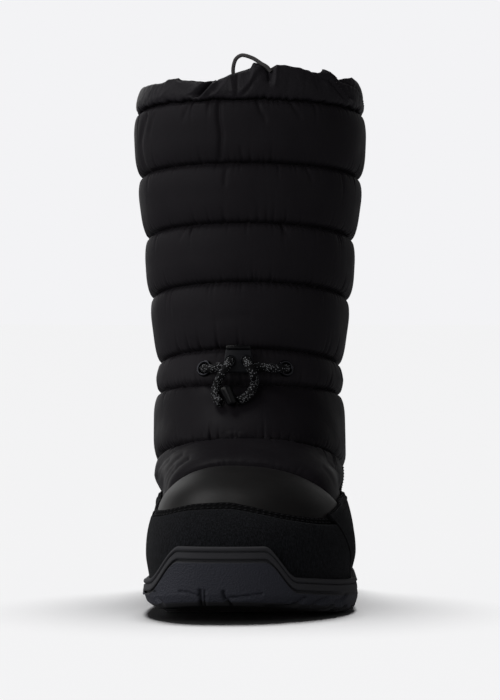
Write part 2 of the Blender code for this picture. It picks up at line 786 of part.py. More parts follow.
def lug_cutter():
    """Notches between the edge lugs, bars across the tread and slots in the front of the toe."""
    bm = bmesh.new()
    for first, last in LUG_RUNS:
        count = int((last - first) / LUG_PITCH)
        for i in range(count + 1):
            s = first + LUG_PITCH * i
            for side, skew in ((0, -LUG_SKEW), (1, LUG_SKEW)):
                outward = 2 * side - 1
                x = sole_sides(s, 0.0)[side] - outward * (LUG_REACH / 2.0 - LUG_OUT)
                top = tread_line(s) + LUG_DEPTH
                size = (LUG_REACH + 2.0 * LUG_OUT, LUG_GAP, 2.0 * LUG_DEPTH)
                add_block(bm, place(s, x, top - LUG_DEPTH), size, skew)
    for s in BAR_STATIONS:
        inner, outer = sole_sides(s, 0.0)
        axis = (inner + outer) / 2.0
        top = tread_line(s) + LUG_DEPTH
        size = (2.0 * BAR_HALF, LUG_GAP, 2.0 * LUG_DEPTH)
        add_block(bm, place(s, axis, top - LUG_DEPTH), size, BAR_SKEW)
    for x in TOE_SLOTS:
        s = TOE_TIP + SOLE_GROWTH
        add_block(bm, place(s, x, TOE_SLOT_TOP / 2.0), (LUG_GAP, TOE_SLOT_DEPTH, TOE_SLOT_TOP), 0.0)
    return cutter_object("tread_gaps", bm)


def build_insole(finish):
    """The footbed that lies in the sole, inside the upper's wall."""
    insole = mesh_object("insole", footbed_slab(GAP, GAP + INSOLE), finish)
    inside = cutter_object("inside_upper", foot_form(-WALL - GAP, inside=True))
    shape_with(insole, inside, "INTERSECT")
    return insole


def collar_frame(turn):
    """A point of the collar seam, with the directions out and up from it."""
    seam = SECTIONS[0]
    here = section_point(seam, turn)
    step = 0.02
    ahead = section_point(seam, (turn + step) % (2.0 * math.pi))
    behind = section_point(seam, (turn - step) % (2.0 * math.pi))
    up = Vector((seam.low_z - seam.top_z, 0.0, seam.top_s - seam.low_s)).normalized()
    out = (ahead - behind).cross(up).normalized()
    axis = Vector(((seam.top_s + seam.low_s) / 2.0, 0.0, here.z))
    if out.dot(here - axis) < 0.0:
        out = -out
    return here, out, up


def build_collar(finish):
    """The gathered casing on top of the shaft, a closed ring with its main folds."""
    turns = [fold.turn for fold in COLLAR_FOLDS] + [360.0]
    height_at = curve_through(turns, [fold.height for fold in (*COLLAR_FOLDS, COLLAR_FOLDS[0])])
    tuck_at = curve_through(turns, [fold.tuck for fold in (*COLLAR_FOLDS, COLLAR_FOLDS[0])])
    bm = bmesh.new()
    slices = []
    for i in range(COLLAR_AROUND):
        degrees = 360.0 * (i + 0.5) / COLLAR_AROUND
        here, out, up = collar_frame(math.radians(degrees))
        height, tuck = height_at(degrees), tuck_at(degrees)
        points = [
            here + out * (row.out - row.gather * tuck) + up * (COLLAR_LIFT + row.rise * height)
            for row in COLLAR_SIDE
        ]
        slices.append([bm.verts.new(place(p.x, p.y, p.z)) for p in points])
    join_rings(bm, [*slices, slices[0]])
    return mesh_object("collar", bm, finish)


class FrontSeat:
    """Finds places on the padding, seen from the front of the boot."""

    def __init__(self):
        self.skin = skin(upper_rings(), 0.0, True)
        self.tree = BVHTree.FromBMesh(self.skin)

    def at(self, x, z, lift):
        """A place at x and z, lift millimetres clear of the padding, and the padding's normal there."""
        hit, normal, _, _ = self.tree.ray_cast(Vector((x * MM, -1.0, z * MM)), Vector((0.0, 1.0, 0.0)))
        return hit + Vector((0.0, lift * MM / normal.y, 0.0)), normal


def build_eyelet(name, finish, seat, x):
    """A rolled metal ring lying on the ankle band."""
    centre, normal = seat.at(x, EYELET_Z, EYELET_LIFT)
    bm = bmesh.new()
    middle = (EYELET_OUTER + EYELET_HOLE) / 2.0
    half = (EYELET_OUTER - EYELET_HOLE) / 2.0
    roll = half * EYELET_ROLL
    profile = ((-half, 0.0), (half, 0.0), (roll, EYELET_THICK), (-roll, EYELET_THICK))
    verts = [bm.verts.new(Vector((middle + r, 0.0, h)) * MM) for r, h in profile]
    edges = [bm.edges.new((verts[i], verts[(i + 1) % 4])) for i in range(4)]
    bmesh.ops.spin(
        bm, geom=verts + edges, axis=(0.0, 0.0, 1.0), cent=(0.0, 0.0, 0.0),
        angle=2.0 * math.pi, steps=EYELET_SIDES, use_merge=True,
    )
    turn = Vector((0.0, 0.0, 1.0)).rotation_difference(normal).to_matrix().to_4x4()
    bmesh.ops.transform(bm, matrix=Matrix.Translation(centre) @ turn, verts=bm.verts)
    return mesh_object(name, bm, finish)


def lock_back(seat):
    """Y of the lock's back face: just ahead of the padding behind it."""
    places = [seat.at(LOCK_X + dx, row.z, 0.0)[0].y for row in LOCK_ROWS for dx in (-row.half, 0.0, row.half)]
    return min(places) - LOCK_STANDOFF * MM


def build_lock(finish, seat):
    """The drawcord's lock: a block that widens downwards, with a lip along the front of its top edge."""
    back = lock_back(seat)
    bm = bmesh.new()
    rings = []
    for row in LOCK_ROWS:
        corners = ((-row.half, 0.0), (row.half, 0.0), (row.half, row.depth), (-row.half, row.depth))
        points = [Vector(((LOCK_X + x) * MM, back - ahead * MM, row.z * MM)) for x, ahead in corners]
        rings.append([bm.verts.new(point) for point in points])
    join_rings(bm, rings)
    bm.faces.new(rings[0])
    bm.faces.new(rings[-1])
    return mesh_object("cord_lock", bm, finish)


def smooth_route(points, step):
    """Points a step apart on a smooth curve through a route."""
    spans = [(b - a).length for a, b in zip(points, points[1:])]
    places = [sum(spans[:i]) for i in range(len(points))]
    curves = [curve_through(places, [p[axis] for p in points]) for axis in range(3)]
    count = max(3, round(places[-1] / (step * MM)))
    return [Vector([curve(places[-1] * i / count) for curve in curves]) for i in range(count + 1)]


def tube(name, points, diameter, resolution, finish):
    """A cord as a round tube along points, closed at both ends."""
    data = bpy.data.curves.new(name, "CURVE")
    data.dimensions = "3D"
    data.bevel_depth = diameter * MM / 2.0
    data.bevel_resolution = resolution
    data.use_fill_caps = True
    line = data.splines.new("POLY")
    line.points.add(len(points) - 1)
    for slot, point in zip(line.points, points):
        slot.co = (*point, 1.0)
    return add_object(name, data, finish)


def build_bar(name, finish, seat, side):
    """The drawcord from an eyelet to the side of the lock."""
    lift = CORD / 2.0 + GAP
    from_eyelet = lift + EYELET_THICK + EYELET_LIFT + BAR_RISE
    depth = lock_back(seat) - LOCK_DEPTH / 2.0 * MM
    face = LOCK_X + side * (LOCK_SIDE + GAP)
    inside = [Vector(((face + side * back) * MM, depth, LOCK_ENTRY_Z * MM)) for back in (BAR_STRAIGHT, 0.0)]
    start = seat.at(side * EYELET_X, EYELET_Z, from_eyelet)[0]
    middle = seat.at(side * (EYELET_X - EYELET_OUTER), EYELET_Z, from_eyelet)[0]
    return tube(name, smooth_route([start, middle, *inside], CORD_STEP), CORD, 2, finish)


def build_loop(name, finish, seat, route):
    """One hanging strand of the drawcord, from the lock's face to the cord end."""
    lift = CORD / 2.0 + GAP
    face = lock_back(seat) - (LOCK_DEPTH + GAP) * MM
    hole = route[0]
    straight = [Vector((hole.x * MM, face - ahead * MM, hole.z * MM)) for ahead in (0.0, hole.lift)]
    hanging = [seat.at(p.x, p.z, lift + p.lift)[0] for p in route[1:]]
    return tube(name, smooth_route(straight + hanging, CORD_STEP), CORD, 2, finish)


def build_cord_end(finish, seat):
    """The moulded end piece that grips both strands, leaning as it hangs."""
    middle = (CORD_END_LOW + CORD_END_HIGH) / 2.0
    centre, _ = seat.at(CORD_END_X, middle, CORD_END_RADIUS + CORD_END_CLEAR)
    length = CORD_END_HIGH - CORD_END_LOW
    bm = bmesh.new()
    bmesh.ops.create_cone(
        bm, cap_ends=True, segments=CORD_END_SIDES, radius1=CORD_END_RADIUS * CORD_END_TAPER * MM,
        radius2=CORD_END_RADIUS * MM, depth=length * MM,
    )
    rims = [edge for edge in bm.edges if any(len(face.verts) > 4 for face in edge.link_faces)]
    bmesh.ops.bevel(
        bm, geom=rims, offset=CORD_END_BEVEL * MM, segments=1, profile=0.5, affect="EDGES", material=-1
    )
    lean = Matrix.Rotation(math.radians(-CORD_END_LEAN), 4, "Y")
    bmesh.ops.transform(bm, matrix=Matrix.Translation(centre) @ lean, verts=bm.verts)
    return mesh_object("cord_end", bm, finish)


def build_collar_cord(finish):
    """The thin elastic cord whose loop stands up out of the collar."""
    points = [place(p.y, p.x, p.z) for p in COLLAR_CORD_ROUTE]
    return tube("collar_cord", smooth_route(points, COLLAR_CORD_STEP), COLLAR_CORD, 2, finish)


def main():
    """Builds every piece of the boot."""
    for old in list(bpy.data.objects):
        bpy.data.objects.remove(old)
    nylon = material("quilted_nylon", (0.012, 0.011, 0.012), 0.42)
    casing = material("thin_nylon", (0.014, 0.013, 0.014), 0.45)
    suede = material("suede", (0.014, 0.014, 0.015), 0.9)
    rubber = material("moulded_rubber", (0.022, 0.023, 0.028), 0.6)
    foam = material("footbed_felt", (0.05, 0.05, 0.05), 0.95)
    braid = material("flecked_braid", (0.03, 0.03, 0.03), 0.7)
    elastic = material("elastic_cord", (0.06, 0.055, 0.055), 0.55)
    steel = material("black_metal", (0.03, 0.03, 0.032), 0.3, 1.0)
    moulded = material("moulded_plastic", (0.012, 0.012, 0.013), 0.35)

    build_upper(nylon)
    above_sole = cutter_object("above_sole", footbed_slab(GAP, PAST_TOP))
    backing = cutter_object("upper_backing", foot_form(GAP))
    build_toe_cap(suede, backing, above_sole)
    build_foxing(suede, backing, above_sole)
    cavity = cutter_object("sole_cavity", foot_form(OVERLAY + 2.0 * GAP))
    shape_with(cavity, cutter_object("above_footbed", footbed_slab(0.0, PAST_TOP)), "INTERSECT")
    build_outsole(rubber, cavity)
    build_insole(foam)
    build_collar(casing)

    seat = FrontSeat()
    build_eyelet("eyelet_medial", steel, seat, -EYELET_X)
    build_eyelet("eyelet_lateral", steel, seat, EYELET_X)
    build_lock(moulded, seat)
    build_bar("drawcord_bar_medial", braid, seat, -1)
    build_bar("drawcord_bar_lateral", braid, seat, 1)
    build_loop("drawcord_loop_medial", braid, seat, LOOP_MEDIAL)
    build_loop("drawcord_loop_lateral", braid, seat, LOOP_LATERAL)
    build_cord_end(moulded, seat)
    build_collar_cord(elastic)


main()
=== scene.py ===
"""Left winter boot, dressed for a studio view: quilted nylon, suede, moulded rubber and cords.

Sizes are millimetres unless a name says otherwise, and become metres when a mesh is made.
s runs forward from behind the heel, x towards the outer side of the foot, z up from the floor.
In the scene the toe points along -Y and the outer side of this left boot is +X.
"""

from __future__ import annotations

import logging
import math
import random
from bisect import bisect_left, bisect_right
from collections.abc import Callable, Iterable, Sequence
from dataclasses import dataclass, field, replace
from enum import Enum
from typing import NamedTuple

import bmesh
import bpy
from mathutils import Matrix, Vector, noise
from mathutils.bvhtree import BVHTree

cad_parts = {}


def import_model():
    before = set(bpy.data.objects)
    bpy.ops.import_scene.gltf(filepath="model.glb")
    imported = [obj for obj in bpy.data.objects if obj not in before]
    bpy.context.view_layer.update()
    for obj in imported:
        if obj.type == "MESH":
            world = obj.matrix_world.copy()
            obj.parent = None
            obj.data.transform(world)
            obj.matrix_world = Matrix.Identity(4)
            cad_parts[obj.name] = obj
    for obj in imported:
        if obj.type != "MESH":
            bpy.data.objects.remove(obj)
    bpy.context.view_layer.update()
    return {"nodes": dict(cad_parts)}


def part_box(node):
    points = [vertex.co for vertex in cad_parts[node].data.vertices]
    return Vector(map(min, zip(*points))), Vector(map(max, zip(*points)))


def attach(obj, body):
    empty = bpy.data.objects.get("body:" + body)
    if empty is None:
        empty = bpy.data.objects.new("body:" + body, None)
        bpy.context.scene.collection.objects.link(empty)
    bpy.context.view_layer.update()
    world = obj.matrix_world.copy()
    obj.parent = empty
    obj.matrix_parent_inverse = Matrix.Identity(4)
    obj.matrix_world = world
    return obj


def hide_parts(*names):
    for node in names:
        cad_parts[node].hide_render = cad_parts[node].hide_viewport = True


LOG = logging.getLogger("winter_boot")
MM = 0.001
TAU = 2.0 * math.pi
FAR = 1.0e9
BODY = "root"
CLOTH_MAP = "weave"
# A wave texture draws this many radians for each unit of its scale.
BANDS_PER_SCALE = 20.0
# The colour sockets of a mix node, by number, because its sockets share their names.
MIX_SHARE, MIX_FIRST, MIX_SECOND, MIX_RESULT = 0, 6, 7, 2

Tree = bpy.types.NodeTree
Socket = bpy.types.NodeSocket
Piece = bpy.types.Object
Mesh = bmesh.types.BMesh
Vert = bmesh.types.BMVert
Edge = bmesh.types.BMEdge
Span = tuple[float, float]
# A place on a surface, and the normal there.
Spot = tuple[Vector, Vector]
# Gives the spot at a share of the way round and a height.
Surface = Callable[[float, float], Spot]
# Rings of points, each with how far its points move out.
Rings = list[tuple[list[Vector], list[float]]]


class Side(Enum):
    """The two sides of the foot, with the sign of their x."""

    INNER = -1
    OUTER = 1

    @property
    def index(self) -> int:
        """0 for the inner side and 1 for the outer."""
        return (self.value + 1) // 2


class Facing(Enum):
    """The two skins of the padded wall."""

    OUTSIDE = "outside"
    LINING = "lining"


# Small tools


def lerp(a: float, b: float, t: float) -> float:
    """The value a share t of the way from a to b."""
    return a + (b - a) * t


def ease(low: float, high: float, value: float) -> float:
    """0 below low, 1 above high, and a smooth step between."""
    t = min(1.0, max(0.0, (value - low) / (high - low)))
    return t * t * (3.0 - 2.0 * t)


def bell(distance: float, width: float) -> float:
    """1 at no distance, falling away over a width."""
    return math.exp(-((distance / width) ** 2))


def rounded(reach: float, power: float) -> float:
    """A rounded form's share of its full width, at a reach from 0 in its middle to 1 at its end."""
    return max(0.0, 1.0 - reach**power) ** (1.0 / power)


def crowd(t: float) -> float:
    """A share that is crowded towards both of its ends."""
    return 0.5 - 0.5 * math.cos(math.pi * t)


def within_half(degrees: float) -> float:
    """An angle brought within half a turn of 0."""
    return (degrees + 180.0) % 360.0 - 180.0


class Grain(NamedTuple):
    """A noise over the boot: its scales along a level and upwards, and its step from seam to seam."""

    level: float
    up: float = 0.0
    step: float = 0.0

    def at(self, s: float, x: float, z: float, number: float = 1.0) -> float:
        """The noise at a place, for the seam of a number."""
        return noise.noise(Vector((s * self.level, x * self.level, z * self.up + self.step * number)))


class Curve:
    """A smooth curve through values, which never swings past them."""

    def __init__(self, places: Sequence[float], values: Sequence[float], straight: bool = False) -> None:
        """Keeps the values and works out the slope at each.

        Args:
            places: Where the values stand, rising.
            values: The values there.
            straight: Whether straight lines join the values.
        """
        self.straight = straight
        self.places, self.values = list(places), list(values)
        pairs = zip(self.values, self.values[1:], self.places, self.places[1:])
        rises = [(b - a) / (q - p) for a, b, p, q in pairs]
        middle = [2.0 * a * b / (a + b) if a * b > 0.0 else 0.0 for a, b in zip(rises, rises[1:])]
        self.slopes = [rises[0], *middle, rises[-1]]

    def __call__(self, place: float) -> float:
        """The curve's value at a place, held at its ends.

        Args:
            place: Where to read it.

        Returns:
            The value.
        """
        place = min(self.places[-1], max(self.places[0], place))
        i = min(max(0, bisect_right(self.places, place) - 1), len(self.places) - 2)
        span = self.places[i + 1] - self.places[i]
        t = (place - self.places[i]) / span
        if self.straight:
            return lerp(self.values[i], self.values[i + 1], t)
        back = (1.0 + 2.0 * t) * (1.0 - t) ** 2 * self.values[i] + t * (1.0 - t) ** 2 * span * self.slopes[i]
        ahead = t * t * (3.0 - 2.0 * t) * self.values[i + 1] + t * t * (t - 1.0) * span * self.slopes[i + 1]
        return back + ahead


class Mark(NamedTuple):
    """A line pressed into a surface, drawn as it is seen from the front, in x and z."""

    points: tuple[Span, ...]
    width: float
    depth: float

    def distance(self, x: float, z: float) -> float:
        """How far a place lies from the line.

        Args:
            x: The place's x.
            z: Its z.

        Returns:
            The distance.
        """
        best = FAR
        for (ax, az), (bx, bz) in zip(self.points, self.points[1:]):
            dx, dz = bx - ax, bz - az
            t = min(1.0, max(0.0, ((x - ax) * dx + (z - az) * dz) / (dx * dx + dz * dz)))
            best = min(best, math.hypot(x - ax - t * dx, z - az - t * dz))
        return best

    def press(self, x: float, z: float) -> float:
        """How deep the line is pressed in at a place."""
        return self.depth * bell(self.distance(x, z), self.width)


class Crease(Mark):
    """A crease of the cloth: a sharp valley between soft shoulders."""

    def press(self, x: float, z: float) -> float:
        """How deep the crease is at a place."""
        return self.depth * math.exp(-self.distance(x, z) / self.width)


# Finishes


def linear(colour: str) -> tuple[float, float, float, float]:
    """A hex sRGB colour as linear red, green, blue and alpha.

    Args:
        colour: The colour as a hash sign and six hex digits.

    Returns:
        Its linear parts.
    """
    parts = [int(colour[i : i + 2], 16) / 255.0 for i in (1, 3, 5)]
    red, green, blue = (c / 12.92 if c <= 0.04045 else ((c + 0.055) / 1.055) ** 2.4 for c in parts)
    return red, green, blue, 1.0


def add_node(
    tree: Tree, kind: str, values: dict | None = None, links: dict | None = None, **settings: object
) -> bpy.types.Node:
    """Adds a node with its settings and links.

    Args:
        tree: The node tree.
        kind: Blender's name for the node.
        values: Constants for inputs, by name or number.
        links: Output sockets for inputs, by name or number.
        settings: The node's own properties.

    Returns:
        The new node.
    """
    node = tree.nodes.new(kind)
    for key, value in settings.items():
        setattr(node, key, value)
    for key, value in (values or {}).items():
        node.inputs[key].default_value = value
    for key, socket in (links or {}).items():
        tree.links.new(socket, node.inputs[key])
    return node


def per_mm(size: float) -> float:
    """A texture's scale for features of a size in millimetres, on coordinates in metres."""
    return 1.0 / (size * MM)


def bands(size: float) -> float:
    """A wave texture's scale for bands a size in millimetres apart, on coordinates in metres."""
    return TAU / BANDS_PER_SCALE / (size * MM)


class Tint(NamedTuple):
    """A colour laid over what is under it, by a share from 0 to 1."""

    share: Socket
    colour: str


class Layer(NamedTuple):
    """A layer of relief: its height from 0 to 1, its depth in millimetres and how much of it shows."""

    height: Socket
    depth: float
    strength: float


@dataclass(frozen=True)
class Finish:
    """A material: two close colours, its gloss, and a pattern that a kind of finish adds."""

    name: str
    colour: str
    shade: str
    roughness: float
    swing: float = 0.06
    blotch: float = 14.0
    specular: float = 0.5
    metallic: float = 0.0
    sheen: float = 0.0
    sheen_roughness: float = 0.4

    def material(self) -> bpy.types.Material:
        """The Blender material, made once.

        Returns:
            The material with its nodes.
        """
        found = bpy.data.materials.get(self.name)
        if found:
            return found
        made = bpy.data.materials.new(self.name)
        made.use_nodes = True
        tree = made.node_tree
        shader = tree.nodes["Principled BSDF"]
        fixed = {
            "Metallic": self.metallic,
            "Specular IOR Level": self.specular,
            "Sheen Weight": self.sheen,
            "Sheen Roughness": self.sheen_roughness,
        }
        for key, value in fixed.items():
            shader.inputs[key].default_value = value
        where = add_node(tree, "ShaderNodeTexCoord").outputs["Object"]
        cloud = add_node(
            tree, "ShaderNodeTexNoise", {"Scale": per_mm(self.blotch), "Detail": 4.0}, {"Vector": where}
        ).outputs["Fac"]
        low, high = self.roughness - self.swing, self.roughness + self.swing
        gloss = add_node(
            tree, "ShaderNodeMapRange", {"From Min": 0.3, "From Max": 0.7, "To Min": low, "To Max": high},
            {"Value": cloud},
        )
        tree.links.new(gloss.outputs["Result"], shader.inputs["Roughness"])
        ground = normal = None
        for tint in (Tint(cloud, self.shade), *self.tints(tree, where)):
            links = {MIX_SHARE: tint.share} | ({} if ground is None else {MIX_FIRST: ground})
            pair = {MIX_FIRST: linear(self.colour), MIX_SECOND: linear(tint.colour)}
            ground = add_node(tree, "ShaderNodeMix", pair, links, data_type="RGBA").outputs[MIX_RESULT]
        tree.links.new(ground, shader.inputs["Base Color"])
        for layer in self.relief(tree, where):
            links = {"Height": layer.height} | ({} if normal is None else {"Normal": normal})
            sizes = {"Strength": layer.strength, "Distance": layer.depth * MM}
            normal = add_node(tree, "ShaderNodeBump", sizes, links).outputs["Normal"]
        if normal is not None:
            tree.links.new(normal, shader.inputs["Normal"])
        return made

    def tints(self, tree: Tree, where: Socket) -> tuple[Tint, ...]:
        """Colours over the drifting ground, from the lowest up: none on a plain finish."""
        return ()

    def relief(self, tree: Tree, where: Socket) -> tuple[Layer, ...]:
        """Layers of relief, from the lowest up: none on a smooth finish."""
        return ()


@dataclass(frozen=True)
class WovenNylon(Finish):
    """Calendered nylon taffeta: a tight plain weave pressed to a soft satin, with small ripples."""

    thread: float = 0.8
    thread_depth: float = 0.05
    thread_strength: float = 0.25
    ripple: float = 5.0
    ripple_depth: float = 0.35
    ripple_strength: float = 0.3

    def relief(self, tree: Tree, where: Socket) -> tuple[Layer, ...]:
        """Ripples under a plain weave, whose 0.2 mm threads are drawn coarser so that they show.

        Args:
            tree: The material's nodes.
            where: Object coordinates.

        Returns:
            The two layers.
        """
        ripples = add_node(
            tree, "ShaderNodeTexNoise", {"Scale": per_mm(self.ripple), "Detail": 3.0, "Distortion": 0.6},
            {"Vector": where},
        )
        cloth = add_node(tree, "ShaderNodeUVMap", uv_map=CLOTH_MAP).outputs["UV"]
        scale, on_cloth = {"Scale": bands(self.thread)}, {"Vector": cloth}
        warp, weft = (
            add_node(tree, "ShaderNodeTexWave", scale, on_cloth, bands_direction=axis).outputs["Fac"]
            for axis in ("X", "Y")
        )
        cross = add_node(tree, "ShaderNodeMath", links={0: warp, 1: weft}, operation="MULTIPLY")
        return (
            Layer(ripples.outputs["Fac"], self.ripple_depth, self.ripple_strength),
            Layer(cross.outputs["Value"], self.thread_depth, self.thread_strength),
        )


@dataclass(frozen=True)
class Suede(Finish):
    """Split leather raised to a short nap: matt, with pale fibre tips and brushed streaks."""

    fibre: float = 0.5
    fibre_depth: float = 0.5
    fibre_strength: float = 0.8
    brush: float = 0.22
    swell: float = 7.0
    swell_depth: float = 0.5
    swell_strength: float = 0.25
    fleck: str = "#25262a"

    def tints(self, tree: Tree, where: Socket) -> tuple[Tint, ...]:
        """Pale fibre tips, brushed downwards.

        Args:
            tree: The material's nodes.
            where: Object coordinates.

        Returns:
            The tips' tint.
        """
        brushed = add_node(tree, "ShaderNodeMapping", {"Scale": (1.0, 1.0, self.brush)}, {"Vector": where})
        tips = add_node(
            tree, "ShaderNodeTexNoise", {"Scale": per_mm(self.fibre), "Detail": 3.0, "Roughness": 0.7},
            {"Vector": brushed.outputs["Vector"]},
        )
        share = add_node(
            tree, "ShaderNodeMapRange", {"From Min": 0.42, "From Max": 0.7, "To Max": 0.9},
            {"Value": tips.outputs["Fac"]},
        )
        return (Tint(share.outputs["Result"], self.fleck),)

    def relief(self, tree: Tree, where: Socket) -> tuple[Layer, ...]:
        """Raised fibres over a soft unevenness.

        Args:
            tree: The material's nodes.
            where: Object coordinates.

        Returns:
            The two layers.
        """
        fibres = add_node(
            tree, "ShaderNodeTexNoise", {"Scale": per_mm(self.fibre), "Detail": 4.0, "Roughness": 0.75},
            {"Vector": where},
        )
        swells = add_node(tree, "ShaderNodeTexNoise", {"Scale": per_mm(self.swell)}, {"Vector": where})
        return (
            Layer(swells.outputs["Fac"], self.swell_depth, self.swell_strength),
            Layer(fibres.outputs["Fac"], self.fibre_depth, self.fibre_strength),
        )


@dataclass(frozen=True)
class Rubber(Finish):
    """Moulded rubber: matt, and spark-eroded to a fine stipple where the mould is textured."""

    grain: float = 0.5
    depth: float = 0.12
    strength: float = 0.35

    def relief(self, tree: Tree, where: Socket) -> tuple[Layer, ...]:
        """A stipple of round grains."""
        grains = add_node(tree, "ShaderNodeTexVoronoi", {"Scale": per_mm(self.grain)}, {"Vector": where})
        return (Layer(grains.outputs["Distance"], self.depth, self.strength),)


@dataclass(frozen=True)
class Pile(Finish):
    """Knitted fleece or needled felt: a dull, clumped pile."""

    tuft: float = 2.2
    depth: float = 1.2
    strength: float = 0.6
    fibre: float = 0.5
    fibre_depth: float = 0.4

    def relief(self, tree: Tree, where: Socket) -> tuple[Layer, ...]:
        """Clumps of pile with fine fibres on them.

        Args:
            tree: The material's nodes.
            where: Object coordinates.

        Returns:
            The two layers.
        """
        tufts = add_node(tree, "ShaderNodeTexVoronoi", {"Scale": per_mm(self.tuft)}, {"Vector": where})
        fibres = add_node(
            tree, "ShaderNodeTexNoise", {"Scale": per_mm(self.fibre), "Detail": 3.0}, {"Vector": where}
        )
        return (
            Layer(tufts.outputs["Distance"], self.depth, self.strength),
            Layer(fibres.outputs["Fac"], self.fibre_depth, self.strength),
        )


@dataclass(frozen=True)
class Braid(Finish):
    """A round cord of braided polyester: dark yarns with pale reflective ones among them."""

    pale: str = "#8a8b8e"
    pale_share: float = 0.4
    cells: float = 12.0
    dot: float = 0.27
    filament: float = 0.4
    filament_depth: float = 0.15
    filament_strength: float = 0.4

    def tints(self, tree: Tree, where: Socket) -> tuple[Tint, ...]:
        """A pale dot on single crossings of the braid, on the cord's own map.

        Args:
            tree: The material's nodes.
            where: Object coordinates; not used.

        Returns:
            The dots' tint.
        """
        cloth = add_node(tree, "ShaderNodeUVMap", uv_map=CLOTH_MAP).outputs["UV"]
        parts = add_node(tree, "ShaderNodeSeparateXYZ", links={"Vector": cloth}).outputs
        ends = {0: parts["X"], 1: parts["Y"]}
        along, against = (
            add_node(tree, "ShaderNodeMath", links=ends, operation=operation).outputs["Value"]
            for operation in ("ADD", "SUBTRACT")
        )
        lattice = add_node(tree, "ShaderNodeCombineXYZ", links={"X": along, "Y": against})
        knots = add_node(
            tree, "ShaderNodeTexVoronoi", {"Scale": self.cells, "Randomness": 0.4},
            {"Vector": lattice.outputs["Vector"]}, voronoi_dimensions="2D",
        ).outputs
        lot = add_node(tree, "ShaderNodeSeparateColor", links={"Color": knots["Color"]}).outputs["Red"]
        near, drawn = (
            add_node(tree, "ShaderNodeMath", {1: limit}, {0: value}, operation="LESS_THAN").outputs["Value"]
            for limit, value in ((self.dot, knots["Distance"]), (self.pale_share, lot))
        )
        pick = add_node(tree, "ShaderNodeMath", links={0: near, 1: drawn}, operation="MULTIPLY")
        return (Tint(pick.outputs["Value"], self.pale),)

    def relief(self, tree: Tree, where: Socket) -> tuple[Layer, ...]:
        """Fine filaments."""
        fine = add_node(tree, "ShaderNodeTexNoise", {"Scale": per_mm(self.filament)}, {"Vector": where})
        return (Layer(fine.outputs["Fac"], self.filament_depth, self.filament_strength),)


@dataclass(frozen=True)
class Moulded(Finish):
    """Injection moulded plastic or lacquered metal: smooth, with a faint orange peel."""

    peel: float = 1.4
    depth: float = 0.08
    strength: float = 0.12

    def relief(self, tree: Tree, where: Socket) -> tuple[Layer, ...]:
        """A faint unevenness that breaks the highlights."""
        peel = add_node(tree, "ShaderNodeTexNoise", {"Scale": per_mm(self.peel)}, {"Vector": where})
        return (Layer(peel.outputs["Fac"], self.depth, self.strength),)


# Black taffeta drawn over padding: a soft satin light that rolls off each puff.
NYLON = WovenNylon("quilted_nylon_taffeta", "#1e1c1f", "#242225", 0.5, specular=0.04)
# The same taffeta over the foot, coloured darker there as in the photograph: painted shade for the weaker
# light on the foot.
PAINTED_SHADE_FOOT_NYLON = replace(NYLON, name="foot_nylon_taffeta_painted_shade", colour="#161417", shade="#1b191c")
# A coated satin panel over the toe: one broad, calm shine.
SATIN = WovenNylon(
    "coated_satin_panel", "#161515", "#1a1919", 0.46, swing=0.03, specular=0.15, ripple=9.0, ripple_depth=0.2,
    ripple_strength=0.2, thread=0.6,
)
# Thin unpadded nylon: small uneven glints on its gathers.
CASING = WovenNylon(
    "thin_crinkled_nylon", "#1f1d20", "#262428", 0.44, specular=0.08, ripple=3.2, ripple_depth=0.6,
    ripple_strength=0.55,
)
# Black suede: hardly any shine, and a fine grain of pale fibre tips.
SUEDE = Suede(
    "black_suede", "#0a0b0d", "#101113", 0.95, swing=0.04, specular=0.05, sheen=0.03, sheen_roughness=0.55
)
# Rubber from a smooth mould: matt bluish grey with a dull gleam on its edges.
RUBBER = Rubber("moulded_rubber", "#2e2f35", "#34353c", 0.56, swing=0.05, specular=0.15)
# Rubber from a textured mould: the same grey, broken up by a fine stipple.
STIPPLE = Rubber(
    "stippled_rubber", "#2e2f36", "#35363e", 0.62, swing=0.05, specular=0.15, grain=0.9, depth=0.35,
    strength=0.8,
)
# Fleece: dark and clumped, with a pale bloom where it is seen along its surface.
FLEECE = Pile("brushed_fleece_lining", "#101012", "#1a1a1d", 0.95, sheen=0.5)
# Felt: flat and dull, with a short, even pile.
FELT = Pile("needled_felt_footbed", "#1d1d1f", "#262628", 0.95, sheen=0.3, tuft=1.2, depth=0.5)
# Drawcord: dark yarns with pale dots that stand out from the black boot.
BRAID = Braid("flecked_braided_cord", "#0c0c0d", "#131315", 0.65, specular=0.1)
# Elastic: a plain grey-brown line against the black.
ELASTIC = Braid("elastic_cord", "#4a4544", "#575150", 0.5, specular=0.2, pale="#6a6463", cells=5.0)
# Black nickel on steel: small, hard highlights.
STEEL = Moulded("black_nickel_steel", "#28282b", "#323236", 0.26, swing=0.04, metallic=1.0)
# Acetal as it leaves the mould: half matt, with soft light on its edges.
PLASTIC = Moulded("black_acetal", "#17181b", "#1d1d21", 0.36, swing=0.05, specular=0.12)
# Polished acetal: blacker, with narrow bright reflections.
GLOSSY = Moulded("polished_acetal", "#09090b", "#0d0d0f", 0.26, swing=0.03, specular=0.18)
# Bonded thread: dull beads a little lighter than what they lie on.
THREAD = Moulded("bonded_polyester_thread", "#121214", "#19191b", 0.6, specular=0.08)
# Folded suede tape: the darkest line along each edge. The same near-black fills each eyelet's opening as
# painted shade.
BINDING_AND_HOLE_SHADE = Suede("edge_binding_and_hole_shade", "#060607", "#0a0a0b", 0.8, specular=0.05, fleck="#101011")


# Meshes


# Vertices nearer than this are one, and edges sharper than this angle are rounded.
WELD, BEVEL_FROM = 0.002, 50.0


